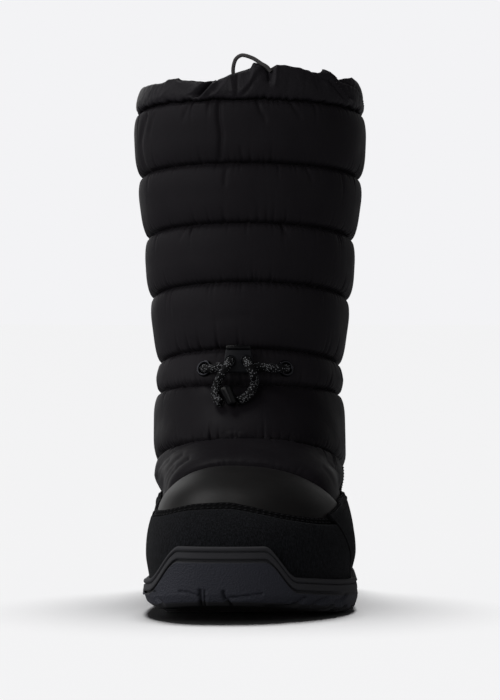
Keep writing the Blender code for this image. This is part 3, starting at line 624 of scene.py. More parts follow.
def add_piece(name: str, bm: Mesh, finishes: Sequence[Finish], sharp: float = 40.0) -> Piece:
    """Turns a bmesh into a piece that rides on the boot.

    Args:
        name: The piece's name.
        bm: Its mesh, in metres and in place; it is freed.
        finishes: Its finishes, in the order of its faces' material numbers.
        sharp: The angle in degrees past which an edge stays sharp.

    Returns:
        The piece.
    """
    mesh = bpy.data.meshes.new(name)
    bm.to_mesh(mesh)
    bm.free()
    for finish in finishes:
        mesh.materials.append(finish.material())
    mesh.shade_smooth()
    mesh.set_sharp_from_angle(angle=math.radians(sharp))
    piece = bpy.data.objects.new(name, mesh)
    bpy.context.scene.collection.objects.link(piece)
    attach(piece, BODY)
    LOG.info("%s: %d faces", name, len(mesh.polygons))
    return piece


def face_out(bm: Mesh) -> None:
    """Makes the faces of a mesh point the same way, outwards on a closed one."""
    bmesh.ops.recalc_face_normals(bm, faces=bm.faces)


def add_bevel(piece: Piece, width: float, segments: int = 2) -> None:
    """Rounds the sharp edges of a piece with a live modifier.

    Args:
        piece: The piece.
        width: The width of the rounding.
        segments: Its faces.
    """
    step = piece.modifiers.new("edges", "BEVEL")
    step.width = width * MM
    step.segments = segments
    step.limit_method = "ANGLE"
    step.angle_limit = math.radians(BEVEL_FROM)


class Sheet:
    """A grid of vertices that is laid over a form by a rule, column by row."""

    def __init__(self, bm: Mesh, columns: int, rows: int) -> None:
        """Adds a flat grid to a bmesh.

        Args:
            bm: The mesh to add to.
            columns: Faces across.
            rows: Faces up.
        """
        self.bm, self.columns, self.rows = bm, columns, rows
        made = bmesh.ops.create_grid(bm, x_segments=columns, y_segments=rows, size=0.5)
        self.index = {
            vert: (round((vert.co.x + 0.5) * columns), round((vert.co.y + 0.5) * rows))
            for vert in made["verts"]
        }
        self.faces = list({face for vert in made["verts"] for face in vert.link_faces})

    def lay(self, rule: Callable[[int, int], Vector]) -> None:
        """Moves each vertex to the place that a rule gives for its column and row, in metres."""
        for vert, (column, row) in self.index.items():
            vert.co = rule(column, row)

    def map_cloth(self, width: float, height: float) -> None:
        """Gives the grid a cloth map of a width and height, in metres.

        Args:
            width: The cloth's width.
            height: The cloth's height.
        """
        layer = self.bm.loops.layers.uv.get(CLOTH_MAP) or self.bm.loops.layers.uv.new(CLOTH_MAP)
        for face in self.faces:
            for loop in face.loops:
                column, row = self.index[loop.vert]
                loop[layer].uv = (column / self.columns * width, row / self.rows * height)

    def paint(self, number: int, wanted: Callable[[int, int], bool]) -> None:
        """Gives the faces whose first corner a rule wants a material number.

        Args:
            number: The material number.
            wanted: Says whether a face is wanted, by column and row.
        """
        for face in self.faces:
            column = min(self.index[vert][0] for vert in face.verts)
            row = min(self.index[vert][1] for vert in face.verts)
            if wanted(column, row):
                face.material_index = number

    def weld(self) -> None:
        """Joins the grid's edges where they lie on each other."""
        bmesh.ops.remove_doubles(self.bm, verts=list(self.index), dist=WELD * MM)


def sweep(
    bm: Mesh, points: Sequence[Vector], radius: float, around: int,
    relief: Callable[[float, float], float] | None = None,
) -> Sheet:
    """Lays a tube along points, with closed ends.

    Args:
        bm: The mesh to add to.
        points: The tube's centre line, in metres.
        radius: Its radius in millimetres.
        around: Faces round it.
        relief: Millimetres added to the radius, from the turn and the length so far.

    Returns:
        The tube's grid.
    """
    tangents = []
    for i in range(len(points)):
        ahead, behind = points[min(i + 1, len(points) - 1)], points[max(i - 1, 0)]
        tangents.append((ahead - behind).normalized())
    side = tangents[0].orthogonal().normalized()
    sides, lengths = [], [0.0]
    for i, tangent in enumerate(tangents):
        side = (side - tangent * side.dot(tangent)).normalized()
        sides.append(side)
        if i:
            lengths.append(lengths[-1] + (points[i] - points[i - 1]).length / MM)

    def rule(column: int, row: int) -> Vector:
        """The place of a column and row of the tube.

        Args:
            column: The column round it.
            row: The row along it.

        Returns:
            The place in metres.
        """
        turn = TAU * (column % around) / around
        out = sides[row] * math.cos(turn) + tangents[row].cross(sides[row]) * math.sin(turn)
        grown = radius + (relief(turn, lengths[row]) if relief else 0.0)
        return points[row] + out * grown * MM

    sheet = Sheet(bm, around, len(points) - 1)
    sheet.lay(rule)
    sheet.map_cloth(1.0, lengths[-1] / (TAU * radius))
    sheet.weld()
    rims = [edge for edge in bm.edges if edge.is_boundary and edge.verts[0] in sheet.index]
    bmesh.ops.holes_fill(bm, edges=rims)
    face_out(bm)
    return sheet


def smooth_route(points: Sequence[Vector], step: float) -> list[Vector]:
    """Points about a step in millimetres apart on a smooth curve through a route.

    Args:
        points: The route, in metres.
        step: The distance between the points.

    Returns:
        The points, in metres.
    """
    spans = [(b - a).length for a, b in zip(points, points[1:])]
    places = [sum(spans[:i]) for i in range(len(points))]
    curves = [Curve(places, [p[axis] for p in points]) for axis in range(3)]
    count = max(3, round(places[-1] / (step * MM)))
    return [Vector([curve(places[-1] * i / count) for curve in curves]) for i in range(count + 1)]


# The boot's form


class PlanRow(NamedTuple):
    """The last's half widths at a station."""

    s: float
    medial: float
    lateral: float


class EdgeRow(NamedTuple):
    """The height of an edge at a place along it."""

    at: float
    z: float


class Section(NamedTuple):
    """A ring of the upper at a seam: its ends, width, shape, padding and rows up to the next seam."""

    name: str
    top_s: float
    top_z: float
    low_s: float
    low_z: float
    crest_x: float
    half: float
    share: float
    widest: float
    power: float
    heel: float
    puff: float | None
    rows: int


HEEL_BACK = 4.0
BALL = 186.0
TOE_TIP = 264.0
SECTIONS = (
    Section("collar_seam", 127.0, 256.0, 5.0, 245.5, 0.0, 57.5, 1.0, 0.50, 2.1, 0.0, 4.0, 26),
    Section("seam_one", 126.0, 223.6, 6.0, 211.0, 0.0, 55.7, 1.0, 0.50, 2.1, 0.0, 4.0, 26),
    Section("seam_two", 124.5, 193.0, 8.0, 178.0, 0.0, 52.0, 1.0, 0.50, 2.1, 0.0, 4.0, 26),
    Section("seam_three", 124.0, 162.8, 10.0, 145.5, 0.0, 49.7, 1.0, 0.50, 2.1, 0.0, 3.6, 26),
    Section("band_top", 124.0, 128.5, 13.0, 111.0, 0.0, 45.6, 1.0, 0.50, 2.1, 0.0, 3.6, 18),
    Section("band_low", 130.0, 110.5, 12.0, 97.0, 0.0, 45.8, 1.0, 0.52, 2.2, 0.2, 4.0, 28),
    Section("instep_seam", 156.0, 82.4, HEEL_BACK, 50.0, 1.0, 45.8, 1.0, 0.56, 2.4, 1.0, 4.0, 44),
    Section("heel_turn", 163.0, 80.0, HEEL_BACK, 2.0, 1.5, 45.5, 1.0, 0.56, 2.6, 1.0, None, 0),
    Section("waist", 177.0, 76.0, 92.0, 0.0, -1.0, 46.5, 0.15, 0.45, 2.8, 1.0, None, 0),
    Section("toe_seam", 196.0, 71.0, BALL, 0.0, -3.0, 46.5, 0.0, 0.40, 2.3, 1.0, 1.4, 40),
)
TOE_SEAM = len(SECTIONS) - 1
SHAFT_SEAMS = (0, 1, 2, 3, 4, 5)
FOOT_SEAMS = (5, 6, TOE_SEAM)


@dataclass
class BootForm:
    """The last and the rings of the upper, which every other piece lies on."""

    heel_wide: float = 40.0
    heel_power: float = 2.2
    toe_tip_x: float = -5.0
    toe_power: float = 2.35
    toe_nose: float = 28.0
    toe_dome_power: float = 2.1
    last_widest: float = 30.0
    widest_limit: float = 0.92
    oval_power: float = 2.1
    corner: float = 0.06
    shaft_blend: Span = (28.0, 62.0)
    swell: dict[Side, float] = field(default_factory=lambda: {Side.INNER: 0.045, Side.OUTER: 0.04})
    swell_rise: Span = (17.0, 30.0)
    swell_along: Span = (100.0, 170.0)
    puff_roll: float = 13.0
    puff_power: float = 2.2
    wall: float = 4.0
    seam_wander: float = 1.2
    wander_slow: Grain = Grain(0.2, step=9.1)
    wander_quick: Grain = Grain(0.55, step=5.3)
    wander_share: float = 0.6
    wander_toe: float = 0.35
    wander_reach: float = 3.5
    plan: tuple[PlanRow, ...] = (
        PlanRow(0.0, 35.0, 36.0), PlanRow(40.0, 35.0, 36.0), PlanRow(95.0, 36.0, 43.0),
        PlanRow(150.0, 39.8, 51.3), PlanRow(BALL, 41.2, 53.2),
    )
    foxing_rows: tuple[EdgeRow, ...] = (
        EdgeRow(-10.0, 81.0), EdgeRow(10.0, 80.0), EdgeRow(35.0, 72.0), EdgeRow(72.0, 56.0),
        EdgeRow(115.0, 52.0), EdgeRow(150.0, 56.0), EdgeRow(190.0, 53.5), EdgeRow(205.0, 52.0),
        EdgeRow(225.0, 48.5),
    )
    toe_cap_rows: tuple[EdgeRow, ...] = (
        EdgeRow(-70.0, 45.8), EdgeRow(-41.6, 47.0), EdgeRow(-18.7, 51.6), EdgeRow(-3.0, 52.3),
        EdgeRow(9.4, 50.6), EdgeRow(25.3, 47.2), EdgeRow(46.4, 44.0), EdgeRow(70.0, 43.5),
    )
    footbed_rows: tuple[EdgeRow, ...] = (
        EdgeRow(-10.0, 26.0), EdgeRow(40.0, 25.0), EdgeRow(90.0, 20.0), EdgeRow(140.0, 14.5),
        EdgeRow(186.0, 12.5), EdgeRow(225.0, 14.0), EdgeRow(275.0, 19.0),
    )

    def __post_init__(self) -> None:
        """Draws the curves through the tables."""
        stations = [row.s for row in self.plan]
        self.inner_plan = Curve(stations, [row.medial for row in self.plan])
        self.outer_plan = Curve(stations, [row.lateral for row in self.plan])
        self.foxing_edge = self.edge(self.foxing_rows)
        self.toe_cap_edge = self.edge(self.toe_cap_rows)
        self.footbed = self.edge(self.footbed_rows)
        # All but the name, the padding and the rows are smooth from ring to ring.
        shapes = [row[1:-2] for row in SECTIONS]
        self.curves = [Curve(range(len(SECTIONS)), values) for values in zip(*shapes)]

    @staticmethod
    def edge(rows: Sequence[EdgeRow]) -> Curve:
        """The curve through a table of edge rows."""
        return Curve([row.at for row in rows], [row.z for row in rows])

    @staticmethod
    def place(s: float, x: float, z: float) -> Vector:
        """A point of the boot as a place in the scene, in metres."""
        return Vector((x, (TOE_TIP + HEEL_BACK) / 2.0 - s, z)) * MM

    @staticmethod
    def station(place: Vector) -> float:
        """The s of a place in the scene."""
        return (TOE_TIP + HEEL_BACK) / 2.0 - place.y / MM

    def toe_sides(self, s: float, grow: float) -> Span:
        """Inner and outer x of the plan ahead of the ball, grown outwards.

        Args:
            s: The station.
            grow: How far the plan is grown.

        Returns:
            The inner and the outer x.
        """
        inner, outer = -self.inner_plan(BALL), self.outer_plan(BALL)
        reach = min(1.0, (s - BALL) / (TOE_TIP + grow - BALL))
        axis = lerp((inner + outer) / 2.0, self.toe_tip_x, reach**2)
        half = ((outer - inner) / 2.0 + grow) * rounded(reach, self.toe_power)
        return axis - half, axis + half

    def sides(self, s: float) -> Span:
        """Inner and outer x of the last's plan at s."""
        return (-self.inner_plan(s), self.outer_plan(s)) if s <= BALL else self.toe_sides(s, 0.0)

    def heel_round(self, s: float) -> float:
        """How far the last's width is reached at s, from 0 at the back of the heel to 1."""
        reach = max(0.0, (self.heel_wide - s) / (self.heel_wide - HEEL_BACK))
        return rounded(min(1.0, reach), self.heel_power)

    def section(self, v: float) -> Section:
        """The ring at row v of the table, smooth between its rows.

        Args:
            v: The row, whole at a seam.

        Returns:
            The ring.
        """
        if v >= TOE_SEAM:
            return SECTIONS[TOE_SEAM]
        row = SECTIONS[int(v)]
        if v == int(v):
            return row
        return Section(row.name, *[curve(v) for curve in self.curves], row.puff, 0)

    def toe_section(self, turn: float) -> Section:
        """The ring of the toe at a turn from 0 at the toe seam to a quarter circle at its tip.

        Args:
            turn: The turn in radians.

        Returns:
            The ring.
        """
        seam = SECTIONS[TOE_SEAM]
        reach = math.sin(turn)
        dome = rounded(reach, self.toe_dome_power)
        top_z = lerp(self.toe_nose, seam.top_z, dome)
        return seam._replace(
            top_s=lerp(seam.top_s, TOE_TIP, reach), top_z=top_z, low_s=lerp(seam.low_s, TOE_TIP, reach),
            crest_x=lerp(seam.crest_x, self.toe_tip_x, reach),
            widest=min(self.widest_limit, self.last_widest / top_z),
        )

    def point(self, section: Section, turn: float) -> Vector:
        """The point of a ring at a turn: 0 at its top, the outer side first.

        Args:
            section: The ring.
            turn: The turn in radians, up to a full one.

        Returns:
            The point as s, x and z.
        """
        half_turn = turn if turn <= math.pi else TAU - turn
        along = abs(math.cos(half_turn))
        front = half_turn <= math.pi / 2.0
        power = 2.0 / (section.power if front else self.oval_power)
        room = 1.0 - section.widest if front else -section.widest
        share = section.widest + room * along**power
        s = lerp(section.low_s, section.top_s, share)
        z = lerp(section.low_z, section.top_z, share)
        narrow = max(0.0, math.sin(half_turn)) ** power
        if not front and section.heel > 0.0:
            under = ease(HEEL_BACK, self.heel_wide, section.low_s)
            closed = lerp(1.0, min(1.0, max(0.0, share) / self.corner) ** 0.5, under)
            narrow = lerp(narrow, self.heel_round(s) * closed, section.heel)
        side = Side.OUTER if turn <= math.pi else Side.INNER
        edge = self.sides(s)[side.index]
        shaft = section.share * ease(*self.shaft_blend, z)
        wide = lerp(edge, section.crest_x + side.value * section.half, shaft)
        swell = self.swell[side] * section.heel * ease(*self.swell_rise, z) * ease(*self.swell_along, s)
        narrow *= 1.0 + swell
        return Vector((s, lerp(section.crest_x, wide, narrow), z))

    def wander(self, seam: int, s: float, x: float) -> float:
        """How far a seam wanders up or down where its cloth is gathered.

        Args:
            seam: The seam's number.
            s: The s of a place on it.
            x: The x of the place.

        Returns:
            Millimetres upwards.
        """
        slow, quick = (grain.at(s, x, 0.0, seam) for grain in (self.wander_slow, self.wander_quick))
        size = self.seam_wander * (self.wander_toe if seam == TOE_SEAM else 1.0)
        return size * (slow + self.wander_share * quick)

    def pillow(self, distance: float) -> float:
        """The padding's profile, from 0 on a seam to 1 where it has rolled up."""
        return rounded(1.0 - min(1.0, distance / self.puff_roll), self.puff_power)


# The quilted upper


# Material numbers of the upper's faces, after its cloth.
PANEL_FACES, LINING_FACES = 1, 2


class PuckerRow:
    """Small gathers where the cloth is drawn in along one side of a seam."""

    PITCHES: Span = (1.8, 4.6)
    DEPTHS: Span = (0.4, 1.2)
    WIDTHS: Span = (0.4, 0.75)
    REACHES: Span = (0.9, 1.9)
    FIRST: float = 3.0
    STRONG: float = 2.4
    STRONG_CHANCE: float = 0.12
    STRONG_POWER: float = 0.4
    CUT: float = 3.0
    RISE: float = 0.8

    def __init__(self, arcs: Sequence[float], depth: float, seed: int) -> None:
        """Scatters gathers of uneven depth and reach along a seam.

        Args:
            arcs: The length along the seam at each column, the whole length last.
            depth: The usual depth of a gather.
            seed: The seed of their places.
        """
        draw = random.Random(seed)
        count = len(arcs) - 1
        self.depth = [0.0] * count
        self.reach = [1.0] * count
        place = draw.uniform(0.0, self.FIRST)
        while place < arcs[-1]:
            strong = self.STRONG if draw.random() < self.STRONG_CHANCE else 1.0
            deep = depth * draw.uniform(*self.DEPTHS) * strong**self.STRONG_POWER
            width = draw.uniform(*self.WIDTHS) * strong**self.STRONG_POWER
            reach = draw.uniform(*self.REACHES) * strong
            low = bisect_left(arcs, place - self.CUT * width)
            high = bisect_right(arcs, place + self.CUT * width)
            for i in range(low, min(high, count)):
                here = deep * bell(arcs[i] - place, width)
                if here > self.depth[i]:
                    self.reach[i] = reach
                self.depth[i] = max(self.depth[i], here)
            place += draw.uniform(*self.PITCHES)

    def press(self, column: int, distance: float) -> float:
        """How deep the gathers press in at a column and a distance from the seam."""
        near = min(1.0, distance / self.RISE)
        return self.depth[column] * near * math.exp(-distance / self.reach[column])


@dataclass
class QuiltedUpper:
    """The padded wall of the boot: the shaft with its channels, and the foot with its toe panel."""

    form: BootForm
    columns: int = 640
    lining_columns: int = 128
    lining_thinning: int = 4
    lining_least: int = 4
    edge_fade: float = 12.0
    toe_fade: float = 10.0
    pucker: float = 1.5
    toe_pucker: float = 0.3
    toe_press: float = 0.35
    toe_spacing: float = 1.15
    toe_seed: int = 41
    groove: float = 1.7
    groove_width: float = 1.15
    crease_from: Span = (60.0, 90.0)
    wave: float = 0.3
    wave_slow: Grain = Grain(0.045, 0.03, 7.0)
    wave_quick: Grain = Grain(0.16, 0.05, 3.0)
    wave_share: float = 0.2
    wave_rise: float = 5.0
    feather: float = 2.0
    cloth_round: float = 0.36
    cloth_row: float = 0.0016
    shaft_split: float = 180.0
    foot_split: float = 60.0
    shaft_creases: tuple[Mark, ...] = (
        Mark(((-13.0, 255.0), (-12.6, 246.0), (-11.4, 238.0), (-12.2, 226.0)), 1.2, 1.5),
        Mark(((6.0, 256.0), (7.6, 250.0), (10.0, 246.0)), 0.9, 1.2),
        Mark(((22.6, 254.5), (24.6, 250.5), (26.6, 247.5)), 0.9, 0.9),
        Mark(((-28.0, 253.5), (-30.0, 247.0)), 0.9, 0.7),
        Mark(((-1.0, 224.0), (-2.0, 231.0)), 0.9, 0.7),
        Mark(((-9.0, 222.0), (-9.8, 213.0)), 1.0, 0.6),
        Mark(((-50.0, 249.0), (-52.4, 236.0), (-51.0, 222.0)), 1.1, 0.9),
        Mark(((-45.5, 250.0), (-47.6, 240.0)), 1.0, 0.6),
        Mark(((30.0, 221.5), (32.0, 216.0)), 0.9, 0.7),
        Mark(((18.0, 193.0), (20.4, 187.0)), 0.9, 0.7),
        Mark(((-30.0, 191.0), (-31.5, 186.0)), 0.9, 0.6),
        Mark(((-14.0, 143.5), (2.0, 144.8)), 1.4, 0.35),
    )
    foot_creases: tuple[Mark, ...] = (
        Crease(((-40.6, 57.0), (-36.0, 64.2), (-32.0, 69.4), (-27.6, 73.0)), 0.8, 1.1),
        Crease(((-36.4, 57.0), (-33.2, 63.0), (-28.6, 68.4), (-24.0, 71.6)), 0.8, 1.1),
        Crease(((-38.6, 56.8), (-34.8, 63.4), (-31.0, 68.2)), 0.7, 0.9),
        Crease(((-41.9, 61.3), (-38.0, 67.2), (-34.4, 70.8)), 0.8, 1.0),
        Crease(((50.5, 59.0), (47.3, 65.1), (41.7, 71.2)), 0.7, 0.7),
        Crease(((49.6, 57.0), (45.4, 64.2), (39.7, 69.5)), 0.7, 0.7),
        Crease(((48.4, 55.4), (43.8, 62.3), (38.7, 67.5)), 0.7, 0.6),
        Crease(((50.6, 61.8), (48.3, 65.9), (44.4, 71.0)), 0.7, 0.6),
    )

    def turns(self, columns: int) -> list[float]:
        """The turns of the columns round a ring."""
        return [TAU * i / columns for i in range(columns)]

    def rows(
        self, seams: Sequence[int], columns: int, facing: Facing
    ) -> Rings:
        """Rings of points between seams, each point with how far it moves out.

        Args:
            seams: Numbers of the seams in the table, from the top.
            columns: Points round a ring.
            facing: The outside with its padding, or the lining.

        Returns:
            The rings, each as points and moves.
        """
        turns = self.turns(columns)
        outside = facing is Facing.OUTSIDE
        made = []
        for start, end in zip(seams, seams[1:]):
            pair = (start, end)
            steps = SECTIONS[start].rows
            if not outside:
                steps = max(self.lining_least, steps // self.lining_thinning)
            edges = [[self.form.point(SECTIONS[i], turn) for turn in turns] for i in pair]
            pucks = [self.pucker_row(ring, i, 2 * i + k) for k, (ring, i) in enumerate(zip(edges, pair))]
            last = end == seams[-1] and end != TOE_SEAM
            for k in range(steps + (1 if last else 0)):
                section = self.form.section(lerp(start, end, crowd(k / steps)))
                points = [self.form.point(section, turn) for turn in turns]
                if outside:
                    for i, p in enumerate(points):
                        for edge, seam in zip(edges, pair):
                            near = bell((p - edge[i]).length, self.form.wander_reach)
                            p.z += self.form.wander(seam, p.x, p.y) * near
                    away = [[(p - edge[i]).length for edge in edges] for i, p in enumerate(points)]
                    moves = [self.quilt(start, p, i, *away[i], pucks) for i, p in enumerate(points)]
                else:
                    moves = [-self.form.wall] * columns
                made.append((points, moves))
        if seams[-1] == TOE_SEAM:
            made += self.toe_rows(turns, outside)
        return made

    def pucker_row(self, ring: Sequence[Vector], seam: int, seed: int) -> PuckerRow:
        """The gathers along one side of a seam, faint along the toe panel.

        Args:
            ring: The seam's points.
            seam: Its number.
            seed: The seed of the gathers.

        Returns:
            The gathers.
        """
        arcs = [0.0]
        for a, b in zip(ring, [*ring[1:], ring[0]]):
            arcs.append(arcs[-1] + (b - a).length)
        return PuckerRow(arcs, self.pucker * (self.toe_pucker if seam == TOE_SEAM else 1.0), seed)

    def quilt(
        self, start: int, p: Vector, column: int, above: float, below: float, pucks: Sequence[PuckerRow]
    ) -> float:
        """How far a point of a channel stands out.

        Args:
            start: The number of the channel's upper seam.
            p: The point as s, x and z.
            column: Its column.
            above: Its distance from the upper seam.
            below: Its distance from the lower seam.
            pucks: The gathers below the upper seam and above the lower one.

        Returns:
            Millimetres outwards.
        """
        s, x, z = p
        free = ease(0.0, self.edge_fade, z - self.form.foxing_edge(s))
        if free <= 0.0:
            return 0.0
        near = min(above, below)
        bulge = SECTIONS[start].puff * self.form.pillow(near)
        press = pucks[0].press(column, above) + pucks[1].press(column, below)
        press += self.groove * bell(near, self.groove_width)
        creases = self.shaft_creases if start < SHAFT_SEAMS[-1] else self.foot_creases
        if s > self.crease_from[0]:
            press += sum(crease.press(x, z) for crease in creases) * ease(*self.crease_from, s)
        slow, quick = (grain.at(s, x, z, start) for grain in (self.wave_slow, self.wave_quick))
        wave = self.wave * (slow + self.wave_share * quick) * min(1.0, near / self.wave_rise)
        return free * (bulge - press + wave)

    def toe_rows(self, turns: Sequence[float], outside: bool) -> Rings:
        """Rings of the toe panel, from the toe seam to the tip.

        Args:
            turns: The turns of the columns.
            outside: Whether it is the outside or the lining.

        Returns:
            The rings, each as points and moves.
        """
        seam = SECTIONS[TOE_SEAM]
        steps = seam.rows if outside else seam.rows // self.lining_thinning
        edge = [self.form.point(seam, turn) for turn in turns]
        pucks = self.pucker_row(edge, TOE_SEAM, self.toe_seed)
        made = []
        for k in range(steps + 1):
            section = self.form.toe_section(math.pi / 2.0 * (k / steps) ** self.toe_spacing)
            points = [self.form.point(section, turn) for turn in turns]
            moves = [-self.form.wall] * len(turns)
            if outside:
                moves = []
                for i, p in enumerate(points):
                    away = (p - edge[i]).length
                    free = ease(0.0, self.toe_fade, p.z - self.form.toe_cap_edge(p.y))
                    press = self.toe_press * pucks.press(i, away)
                    moves.append(free * (seam.puff * self.form.pillow(away) - press))
            made.append((points, moves))
        return made

    def skin(self, seams: Sequence[int], facing: Facing) -> Mesh:
        """A skin of the upper between seams, moved out along its normals.

        Args:
            seams: Numbers of the seams in the table, from the top.
            facing: The outside or the lining.

        Returns:
            The skin, open at its ends.
        """
        columns = self.columns if facing is Facing.OUTSIDE else self.lining_columns
        rings = self.rows(seams, columns, facing)
        bm = bmesh.new()
        sheet = Sheet(bm, columns, len(rings) - 1)
        spots = {vert: (column % columns, row) for vert, (column, row) in sheet.index.items()}
        sheet.lay(lambda column, row: self.form.place(*rings[row][0][column % columns]))
        sheet.map_cloth(self.cloth_round, self.cloth_row * len(rings))
        if facing is Facing.LINING:
            sheet.paint(LINING_FACES, lambda column, row: True)
        elif seams[-1] == TOE_SEAM:
            first_toe = len(rings) - SECTIONS[TOE_SEAM].rows - 1
            sheet.paint(PANEL_FACES, lambda column, row: row >= first_toe)
        sheet.weld()
        face_out(bm)
        self.turn_out(bm)
        bm.normal_update()
        moved = [(v, v.co + v.normal * rings[spots[v][1]][1][spots[v][0]] * MM) for v in bm.verts]
        for vert, place in moved:
            vert.co = place
        if seams[-1] == TOE_SEAM:
            self.trim(bm, 0.0 if facing is Facing.LINING else self.feather)
        return bm

    @staticmethod
    def turn_out(bm: Mesh) -> None:
        """Turns an open skin round the shaft so that its normals point away from the boot.

        Args:
            bm: The skin.
        """
        bm.normal_update()
        middle = sum((v.co for v in bm.verts), Vector()) / len(bm.verts)
        outward = sum((face.calc_center_median() - middle).dot(face.normal) for face in bm.faces)
        if outward < 0.0:
            bmesh.ops.reverse_faces(bm, faces=bm.faces)

    def trim(self, bm: Mesh, under: float) -> None:
        """Cuts a skin off a little under the footbed, along a clean edge.

        Args:
            bm: The skin.
            under: How far under the footbed.
        """
        height = {v: (self.form.footbed(self.form.station(v.co)) - under) * MM for v in bm.verts}
        below = {v for v in bm.verts if v.co.z < height[v]}
        kept = [v for v in below if any(e.other_vert(v) not in below for e in v.link_edges)]
        gone = [face for face in bm.faces if all(v in below for v in face.verts)]
        for vert in kept:
            vert.co.z = height[vert]
        bmesh.ops.delete(bm, geom=gone, context="FACES")

    def shell(self, name: str, seams: Sequence[int], split: float, cloth: Finish) -> BVHTree:
        """A closed padded piece from the outside and the lining.

        Args:
            name: The piece's name.
            seams: Numbers of its seams.
            split: A height between its two open ends.
            cloth: The finish of its outside.

        Returns:
            A tree of its outside.
        """
        bm = self.skin(seams, Facing.OUTSIDE)
        tree = BVHTree.FromBMesh(bm)
        inside = self.skin(seams, Facing.LINING)
        lining = bpy.data.meshes.new("lining")
        inside.to_mesh(lining)
        inside.free()
        bm.from_mesh(lining)
        bpy.data.meshes.remove(lining)
        rims = [edge for edge in bm.edges if edge.is_boundary]
        for top in (True, False):
            ends = [edge for edge in rims if (edge.verts[0].co.z > split * MM) == top]
            rim = bmesh.ops.bridge_loops(bm, edges=ends)
            for face in rim["faces"]:
                face.material_index = 0
        face_out(bm)
        piece = add_piece(name, bm, (cloth, SATIN, FLEECE), sharp=60.0)
        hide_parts("upper")
        return tree

    def build(self) -> BVHTree:
        """Builds the shaft and the foot.

        Returns:
            A tree of the foot's outside, for what lies on it.
        """
        self.shell("quilted_shaft", SHAFT_SEAMS, self.shaft_split, NYLON)
        # The foot's cloth is the shaft's taffeta coloured darker: painted shade.
        return self.shell("quilted_foot", FOOT_SEAMS, self.foot_split, PAINTED_SHADE_FOOT_NYLON)


# Suede, bindings and stitches


@dataclass
class Drape:
    """Finds places on the foot of the upper along level rays from outside."""

    form: BootForm
    tree: BVHTree
    toe_centre: Span = (227.0, 2.0)
    toe_radius: float = 42.0
    toe_start: float = 47.0
    heel_x: float = 0.5
    heel_radius: float = 37.0
    quarter_start: float = 55.0
    passes: int = 3
    outer_foot: float = 183.6
    outer_lean: float = 0.857
    gap: float = 0.35
    outside: float = 150.0

    def cast(self, start: Span, aim: Span, z: float) -> Spot:
        """The place and normal that a level ray from start towards aim meets.

        Args:
            start: s and x of the ray's start.
            aim: s and x of a point on its way.
            z: Its height.

        Returns:
            The place in metres and the normal there.
        """
        origin = self.form.place(start[0], start[1], z)
        way = (self.form.place(aim[0], aim[1], z) - origin).normalized()
        hit, normal, _, _ = self.tree.ray_cast(origin, way)
        if hit is None:
            hit, normal, _, _ = self.tree.find_nearest(self.form.place(aim[0], aim[1], z))
        if normal.dot(way) > 0.0:
            normal = -normal
        return hit, normal

    def seam_station(self, side: Side, z: float, gap: float) -> float:
        """The s where the toe cap meets the foxing on a side, a gap ahead of it or behind.

        Args:
            side: The side.
            z: The height.
            gap: How far ahead.

        Returns:
            The s.
        """
        if side is Side.OUTER:
            return self.outer_foot + self.outer_lean * z + gap
        seam = SECTIONS[TOE_SEAM]
        return seam.low_s + (seam.top_s - seam.low_s) * z / seam.top_z + gap

    def round_end(self, centre: Span, radius: float, way: float, share: float, z: float) -> Spot:
        """The spot at a share of the way from the outer seam round an end of the foot to the inner seam.

        Args:
            centre: s and x of the middle of the end's bend.
            radius: The radius of the bend.
            way: 1 for the toe and -1 for the heel.
            share: The share of the way.
            z: The height.

        Returns:
            The place in metres and the normal there.
        """
        s, x = centre
        outer, inner = (
            way * (s - self.seam_station(side, z, way * self.gap)) for side in (Side.OUTER, Side.INNER)
        )
        bend = math.pi * radius
        along = share * (outer + bend + inner) - outer
        if along < 0.0:
            return self.cast((s + way * along, self.outside), (s + way * along, x), z)
        if along > bend:
            back = s + way * (bend - along)
            return self.cast((back, -self.outside), (back, x), z)
        turn = along / radius
        start = (s + way * self.outside * math.sin(turn), x + self.outside * math.cos(turn))
        return self.cast(start, (s, x), z)

    def at_toe(self, share: float, z: float) -> Spot:
        """The spot on the toe at a share of the way from the outer seam round the tip."""
        return self.round_end(self.toe_centre, self.toe_radius, 1.0, share, z)

    def at_quarter(self, share: float, z: float) -> Spot:
        """The spot on the quarter at a share of the way from the outer seam round the heel."""
        return self.round_end((self.form.heel_wide, self.heel_x), self.heel_radius, -1.0, share, z)

    def toe_edge(self, share: float) -> float:
        """The height of the toe cap's edge at a share of the way round.

        Args:
            share: The share.

        Returns:
            The height.
        """
        z = self.toe_start
        for _ in range(self.passes):
            z = self.form.toe_cap_edge(self.at_toe(share, z)[0].x / MM)
        return z

    def quarter_edge(self, share: float) -> float:
        """The height of the foxing's edge at a share of the way round.

        Args:
            share: The share.

        Returns:
            The height.
        """
        z = self.quarter_start
        for _ in range(self.passes):
            z = self.form.foxing_edge(self.form.station(self.at_quarter(share, z)[0]))
        return z


